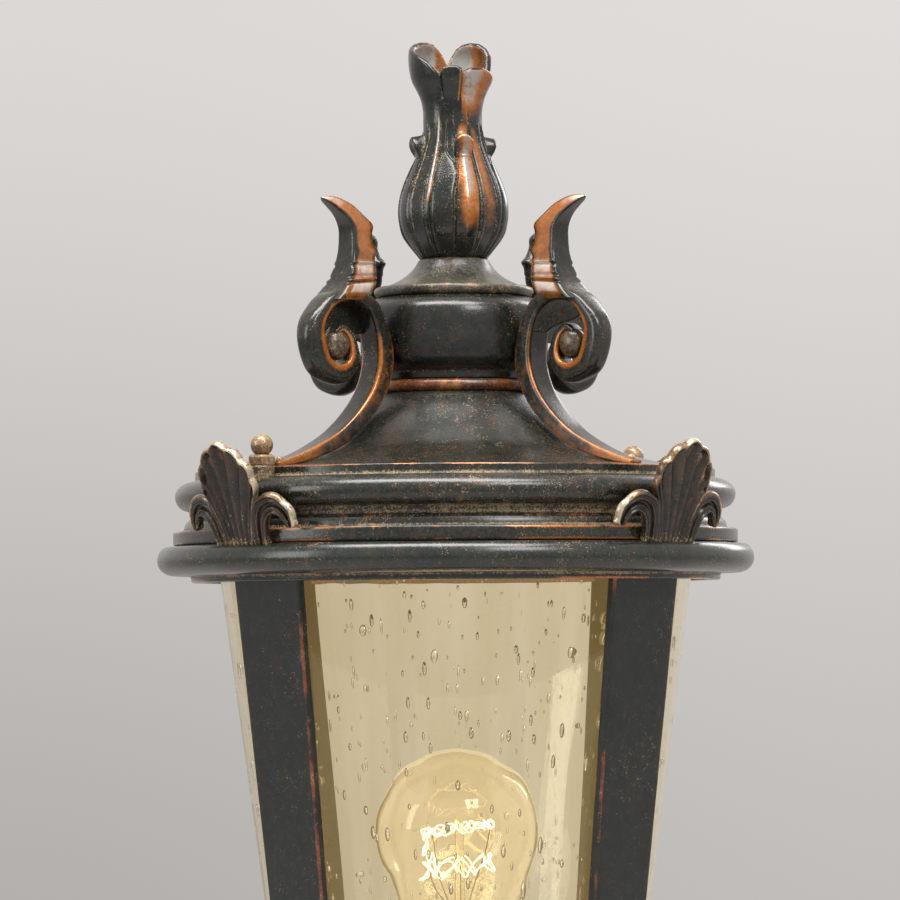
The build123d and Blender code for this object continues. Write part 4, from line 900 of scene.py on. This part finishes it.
for name, angle in corner_turn.items():
    made = skin(f"palmette_tongue_{name}", turned_to(tongue, angle), palm_bronze, "lantern",
                polish_and_highlight=tongue_polish)
    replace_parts(made, f"palmette_{name}")
    for hand, arm_grid in arms.items():
        skin(f"palmette_arm_{hand}_{name}", turned_to(arm_grid, angle), palm_bronze, "lantern",
             polish_and_highlight=arm_polish)

# Glass: a cone of seeded amber glass, drawn with long air bubbles in its wall and faint upright waves.
# It stands on a gasket in the gallery, and a rubber ring centres its top in the frame ring.
glass_low, glass_high = level("glass_cone", 0), level("glass_cone", 1)
glass_top_r, glass_bottom_r, glass_t = 86.3, 59.0, 3.0
glass_ior = 1.45
amber, amber_deep = (0.945, 0.91, 0.78, 1.0), (0.885, 0.845, 0.69, 1.0)
# A faint emission in the amber glass: a painted glow, standing in for light.
amber_painted_glow = (0.037, 0.0255, 0.0105, 1.0)


def glassy(name, tint, second_tint, painted_glow, ior=glass_ior):
    """Clear glass in upright streaks of two close tints, with a faint emission that is a painted glow, as the
    glass is no lamp. Shadow rays pass straight through, dimmed by the tint."""
    def build(start):
        place = start.place()
        drawn = place.node("ShaderNodeVectorMath", {"operation": "MULTIPLY"}, {0: place, 1: (1.0, 1.0, 0.05)})
        streaks = drawn.noise(65.0, 3.0, 0.6).rising(0.35, 0.65)
        shader = start.node("ShaderNodeBsdfPrincipled", {}, {
            "Base Color": streaks.mix(tint, second_tint), "Roughness": 0.0, "IOR": ior,
            "Transmission Weight": 1.0, "Emission Color": painted_glow, "Emission Strength": 1.0})
        through = start.node("ShaderNodeBsdfTransparent", {}, {"Color": tint})
        shadow = start.node("ShaderNodeLightPath", output="Is Shadow Ray")
        return start.node("ShaderNodeMixShader", {}, {0: shadow, 1: shader, 2: through})
    return finished(name, build)


def cone_r(z):
    """Outer radius of the glass at a height above the frame."""
    return glass_bottom_r + (glass_top_r - glass_bottom_r) * (z - floor_z) / glass_h


turn = full_turn(288)
high_up = np.linspace(glass_low, glass_high, 60)[:, None]
wave = 0.05 * np.sin(17 * turn + 0.01 * high_up) + 0.04 * np.sin(41 * turn + 0.03 * high_up + 1.3)
wall_r = np.vstack([cone_r(high_up) - 0.1 + wave, (cone_r(high_up) - glass_t + 0 * wave)[::-1]])
wall_z = np.vstack([high_up, high_up[::-1]])
glass_piece = skin("seeded_glass", metres(upright(wall_r, wall_z, turn)),
                   glassy("amber_glass", amber, amber_deep, amber_painted_glow), "lantern", along=True)
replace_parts(glass_piece, "glass_cone")

seed_count = 1150
seed_rings, seed_sides = 7, 8
seed_least, seed_more = 0.3, 0.75
seed_stretch = (1.6, 3.3)
glass_slope = (glass_top_r - glass_bottom_r) / glass_h
chance = np.random.default_rng(7)
seed_turn = chance.uniform(0, 2 * math.pi, seed_count)
seed_z = chance.uniform(glass_low + 4, glass_high - 4, seed_count)
seed_half_w = seed_least + seed_more * chance.random(seed_count) ** 2
seed_half_h = seed_half_w * chance.uniform(*seed_stretch, seed_count)
seed_r = cone_r(seed_z) - glass_t / 2 + chance.uniform(-0.25, 0.25, seed_count)
seed_size = np.stack([seed_half_w, seed_half_w, seed_half_h], axis=-1)
seeds = ball(seed_rings, seed_sides) * seed_size[:, None, None]
seeds[..., 0] += glass_slope * seeds[..., 2]
radial, sideways = upright(1, 0, seed_turn), upright(1, 0, seed_turn + math.pi / 2)
seed_points = (seed_r[:, None, None, None] + seeds[..., :1]) * radial[:, None, None]
seed_points += seeds[..., 1:2] * sideways[:, None, None]
seed_points[..., 2] = seeds[..., 2] + seed_z[:, None, None]
seed_grid = np.arange(seed_count * seed_rings * seed_sides).reshape(seed_count, seed_rings, seed_sides)
seed_mesh = bpy.data.meshes.new("glass_seeds")
seed_mesh.from_pydata(metres(seed_points).reshape(-1, 3).tolist(), [], quads(seed_grid))
weld(seed_mesh, 0.0001 * mm)
seed_air = glassy("seed_air", (1.0, 1.0, 1.0, 1.0), (0.98, 0.98, 0.98, 1.0), (0.0, 0.0, 0.0, 1.0),
                  1 / glass_ior)
hang("glass_seeds", seed_mesh, seed_air, "lantern")

# Lamp: a clear pear lamp with a screw cap. Its filament is a zigzag of hot wire wound in a cage round a glass
# stem and held by four supports of nickel wire. Lamp, cap, stem and filament turn as one.
lamp_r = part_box("lamp_glass")[1].x / mm
lamp_mid = level("lamp_glass", 1) - lamp_r
lamp_foot = level("lamp_glass", 0)
cap_high = level("lamp_cap", 1)
lamp_neck_r, lamp_plug_r = 14.4, 12.6
lamp_glass_t = 0.8
fall = np.radians(np.linspace(90, -32, 60))
round_top = np.column_stack([np.cos(fall), np.sin(fall)])
round_top[0, 0] = 0.0
globe = round_top * lamp_r + (0, lamp_mid)
throat = curve([tuple(globe[-1]), (lamp_neck_r + 5.0, lamp_mid - 34.5), (lamp_neck_r, cap_high + 6),
                (lamp_neck_r, cap_high)], 30)
pear = np.vstack([globe, throat[1:], [(lamp_plug_r, cap_high), (lamp_plug_r, lamp_foot + 1)]])
pear_in = pear - (lamp_glass_t, 0)
pear_in[:len(globe)] = round_top * (lamp_r - lamp_glass_t) + (0, lamp_mid)
# The lamp's glass gets a faint warm emission: a painted glow.
clear_glass = glassy("lamp_clear_glass", (0.99, 0.97, 0.92, 1.0), (0.98, 0.96, 0.91, 1.0),
                     (0.05, 0.036, 0.013, 1.0))
pear_piece = lathe("pear_glass", np.vstack([pear, pear_in[::-1]]), clear_glass, "lamp", 128,
                   closed=False)
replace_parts(pear_piece, "lamp_glass")


def plain_finish(name, first, second, scale, roughness, metallic):
    """Two close tones in noise of a scale, with a finer noise in the roughness and both in the bump."""
    def build(start):
        place = start.place()
        lumps = place.noise(scale, 3.0)
        fine = place.noise(scale * 9, 2.0)
        bump = start.node("ShaderNodeBump", {}, {"Strength": 0.1, "Distance": 0.4 * mm,
                                                 "Height": lumps + fine * 0.5})
        return start.node("ShaderNodeBsdfPrincipled", {}, {
            "Base Color": lumps.rising(0.3, 0.7).mix(first, second),
            "Roughness": roughness + (fine - 0.5) * 0.2, "Metallic": metallic, "Normal": bump})
    return finished(name, build)


def glowing(start):
    """Tungsten at white heat, a little cooler in places."""
    cooler, hotter = srgb(255, 214, 150), srgb(255, 236, 200)
    heat = start.place().noise(60.0, 1.0).mix(cooler, hotter)
    return start.node("ShaderNodeBsdfPrincipled", {}, {"Base Color": cooler, "Emission Color": heat,
                                                       "Emission Strength": 6.0})


def dress(node_name, material):
    """Gives a CAD node one material in place of its own."""
    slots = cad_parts[node_name].data.materials
    slots.clear()
    slots.append(material)


def tube(path, radius, count=6):
    """A round wire along a path in millimetres: rings of points at the radius, across each step of the
    path."""
    path, radius = metres(path), radius * mm
    along = np.gradient(path, axis=0)
    along /= np.linalg.norm(along, axis=1)[:, None]
    side = np.cross(along, (0.31, 0.22, 0.92))
    side /= np.linalg.norm(side, axis=1)[:, None]
    other = np.cross(along, side)
    hoop = full_turn(count)[:, None]
    return path[:, None] + radius * (np.cos(hoop) * side[:, None] + np.sin(hoop) * other[:, None])


wire_count = 760
wire_turns, wire_start = 4.0, 200
wire_top, wire_drop = 0.8, 14.0
wire_r, support_r = 0.17, 0.22
support_foot_r, support_foot_z = 2.2, lamp_mid - 36.0
wire_share = np.linspace(0, 1, wire_count)
wire_angle = math.radians(wire_start) + wire_share * wire_turns * 2 * math.pi
cage_r = 12.4 + 1.2 * np.sin(19 * wire_angle / 2)
low_turn = rise(wire_share, 0.47, 0.06)
wiggle = (1.5 + 1.6 * low_turn) * np.sin(8.7 * wire_angle * (1 - 0.35 * low_turn))
wire_z = lamp_mid + wire_top - wire_drop * low_turn + 1.6 * np.cos(wire_angle) + wiggle
wire_path = upright(cage_r, wire_z, wire_angle)
wire = skin("filament_spiral", tube(wire_path, wire_r), finished("hot_tungsten", glowing), "lamp")
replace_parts(wire, "lamp_filament")
support_finish = plain_finish("nickel_wire", srgb(92, 74, 52), srgb(132, 110, 80), 260.0, 0.4, 0.8)
for i, (turn_share, top_r) in enumerate(((0.12, 12.4), (0.46, 12.0), (0.8, 12.6), (0.98, 12.2))):
    held = int(turn_share * (wire_count - 1))
    top = wire_z[held]
    steps = curve([(support_foot_r, support_foot_z), (4.0, support_foot_z + 9),
                   (top_r * 0.72, (top + support_foot_z) / 2 + 3), (top_r, top)], 24)
    support = upright(steps[:, 0], steps[:, 1], wire_angle[held])
    skin(f"filament_support_{i + 1}", tube(support, support_r), support_finish, "lamp")
dress("lamp_stem", clear_glass)

# Base: the gallery that carries glass and bars, the bowl below it, and the fitter that slides over the post,
# gripped by three set screws. All are turned castings with the roof's patina, screwed together from inside.
base_bronze = bronze("base_bronze", dark=srgb(15, 24, 21), light=srgb(44, 48, 40), rub=-0.12, fleck=-0.04,
                     shine=0.26)
for name in ("gallery", "base_bowl", "post_fitter"):
    dress(name, base_bronze)

# Small parts inside and below: steel screws, brass shell and nuts, a glazed ceramic lampholder, rubber rings
# and the wiring. Each metal and plastic has its own two tones, its own gloss and a fine grain.
small_parts = (
    ("zinc_steel", (120, 122, 120), (168, 168, 164), 220.0, 0.38, 1.0,
     ["fitter_screws", "gallery_screws", "roof_studs", "finial_rod", "rod_nut", "rod_washer", "holder_saddle",
      "earth_screw", "earth_tag", "terminal_screws", "set_screw_1", "set_screw_2", "set_screw_3"]),
    ("plain_brass", (150, 116, 60), (196, 162, 96), 260.0, 0.34, 1.0,
     ["lampholder_shell", "lampholder_contact", "holder_nipple", "nipple_locknuts"]),
    ("lamp_cap_metal", (150, 148, 140), (190, 186, 176), 300.0, 0.32, 1.0, ["lamp_cap"]),
    ("glazed_ceramic", (214, 210, 198), (232, 228, 218), 120.0, 0.25, 0.0, ["lampholder_body"]),
    ("black_rubber", (22, 22, 22), (38, 38, 38), 400.0, 0.7, 0.0,
     ["glass_gasket", "glass_centring_ring", "roof_gasket", "supply_grommet"]),
    ("block_plastic", (196, 194, 186), (214, 212, 204), 240.0, 0.5, 0.0, ["terminal_block"]),
    ("brown_insulation", (88, 48, 26), (104, 60, 34), 300.0, 0.45, 0.0, ["live_lead"]),
    ("blue_insulation", (28, 62, 128), (38, 78, 150), 300.0, 0.45, 0.0, ["neutral_lead"]))
for finish_name, first, second, scale, roughness, metallic, nodes in small_parts:
    finish = plain_finish(finish_name, srgb(*first), srgb(*second), scale, roughness, metallic)
    for name in nodes:
        dress(name, finish)
dress("scroll_screws", nut_brass)
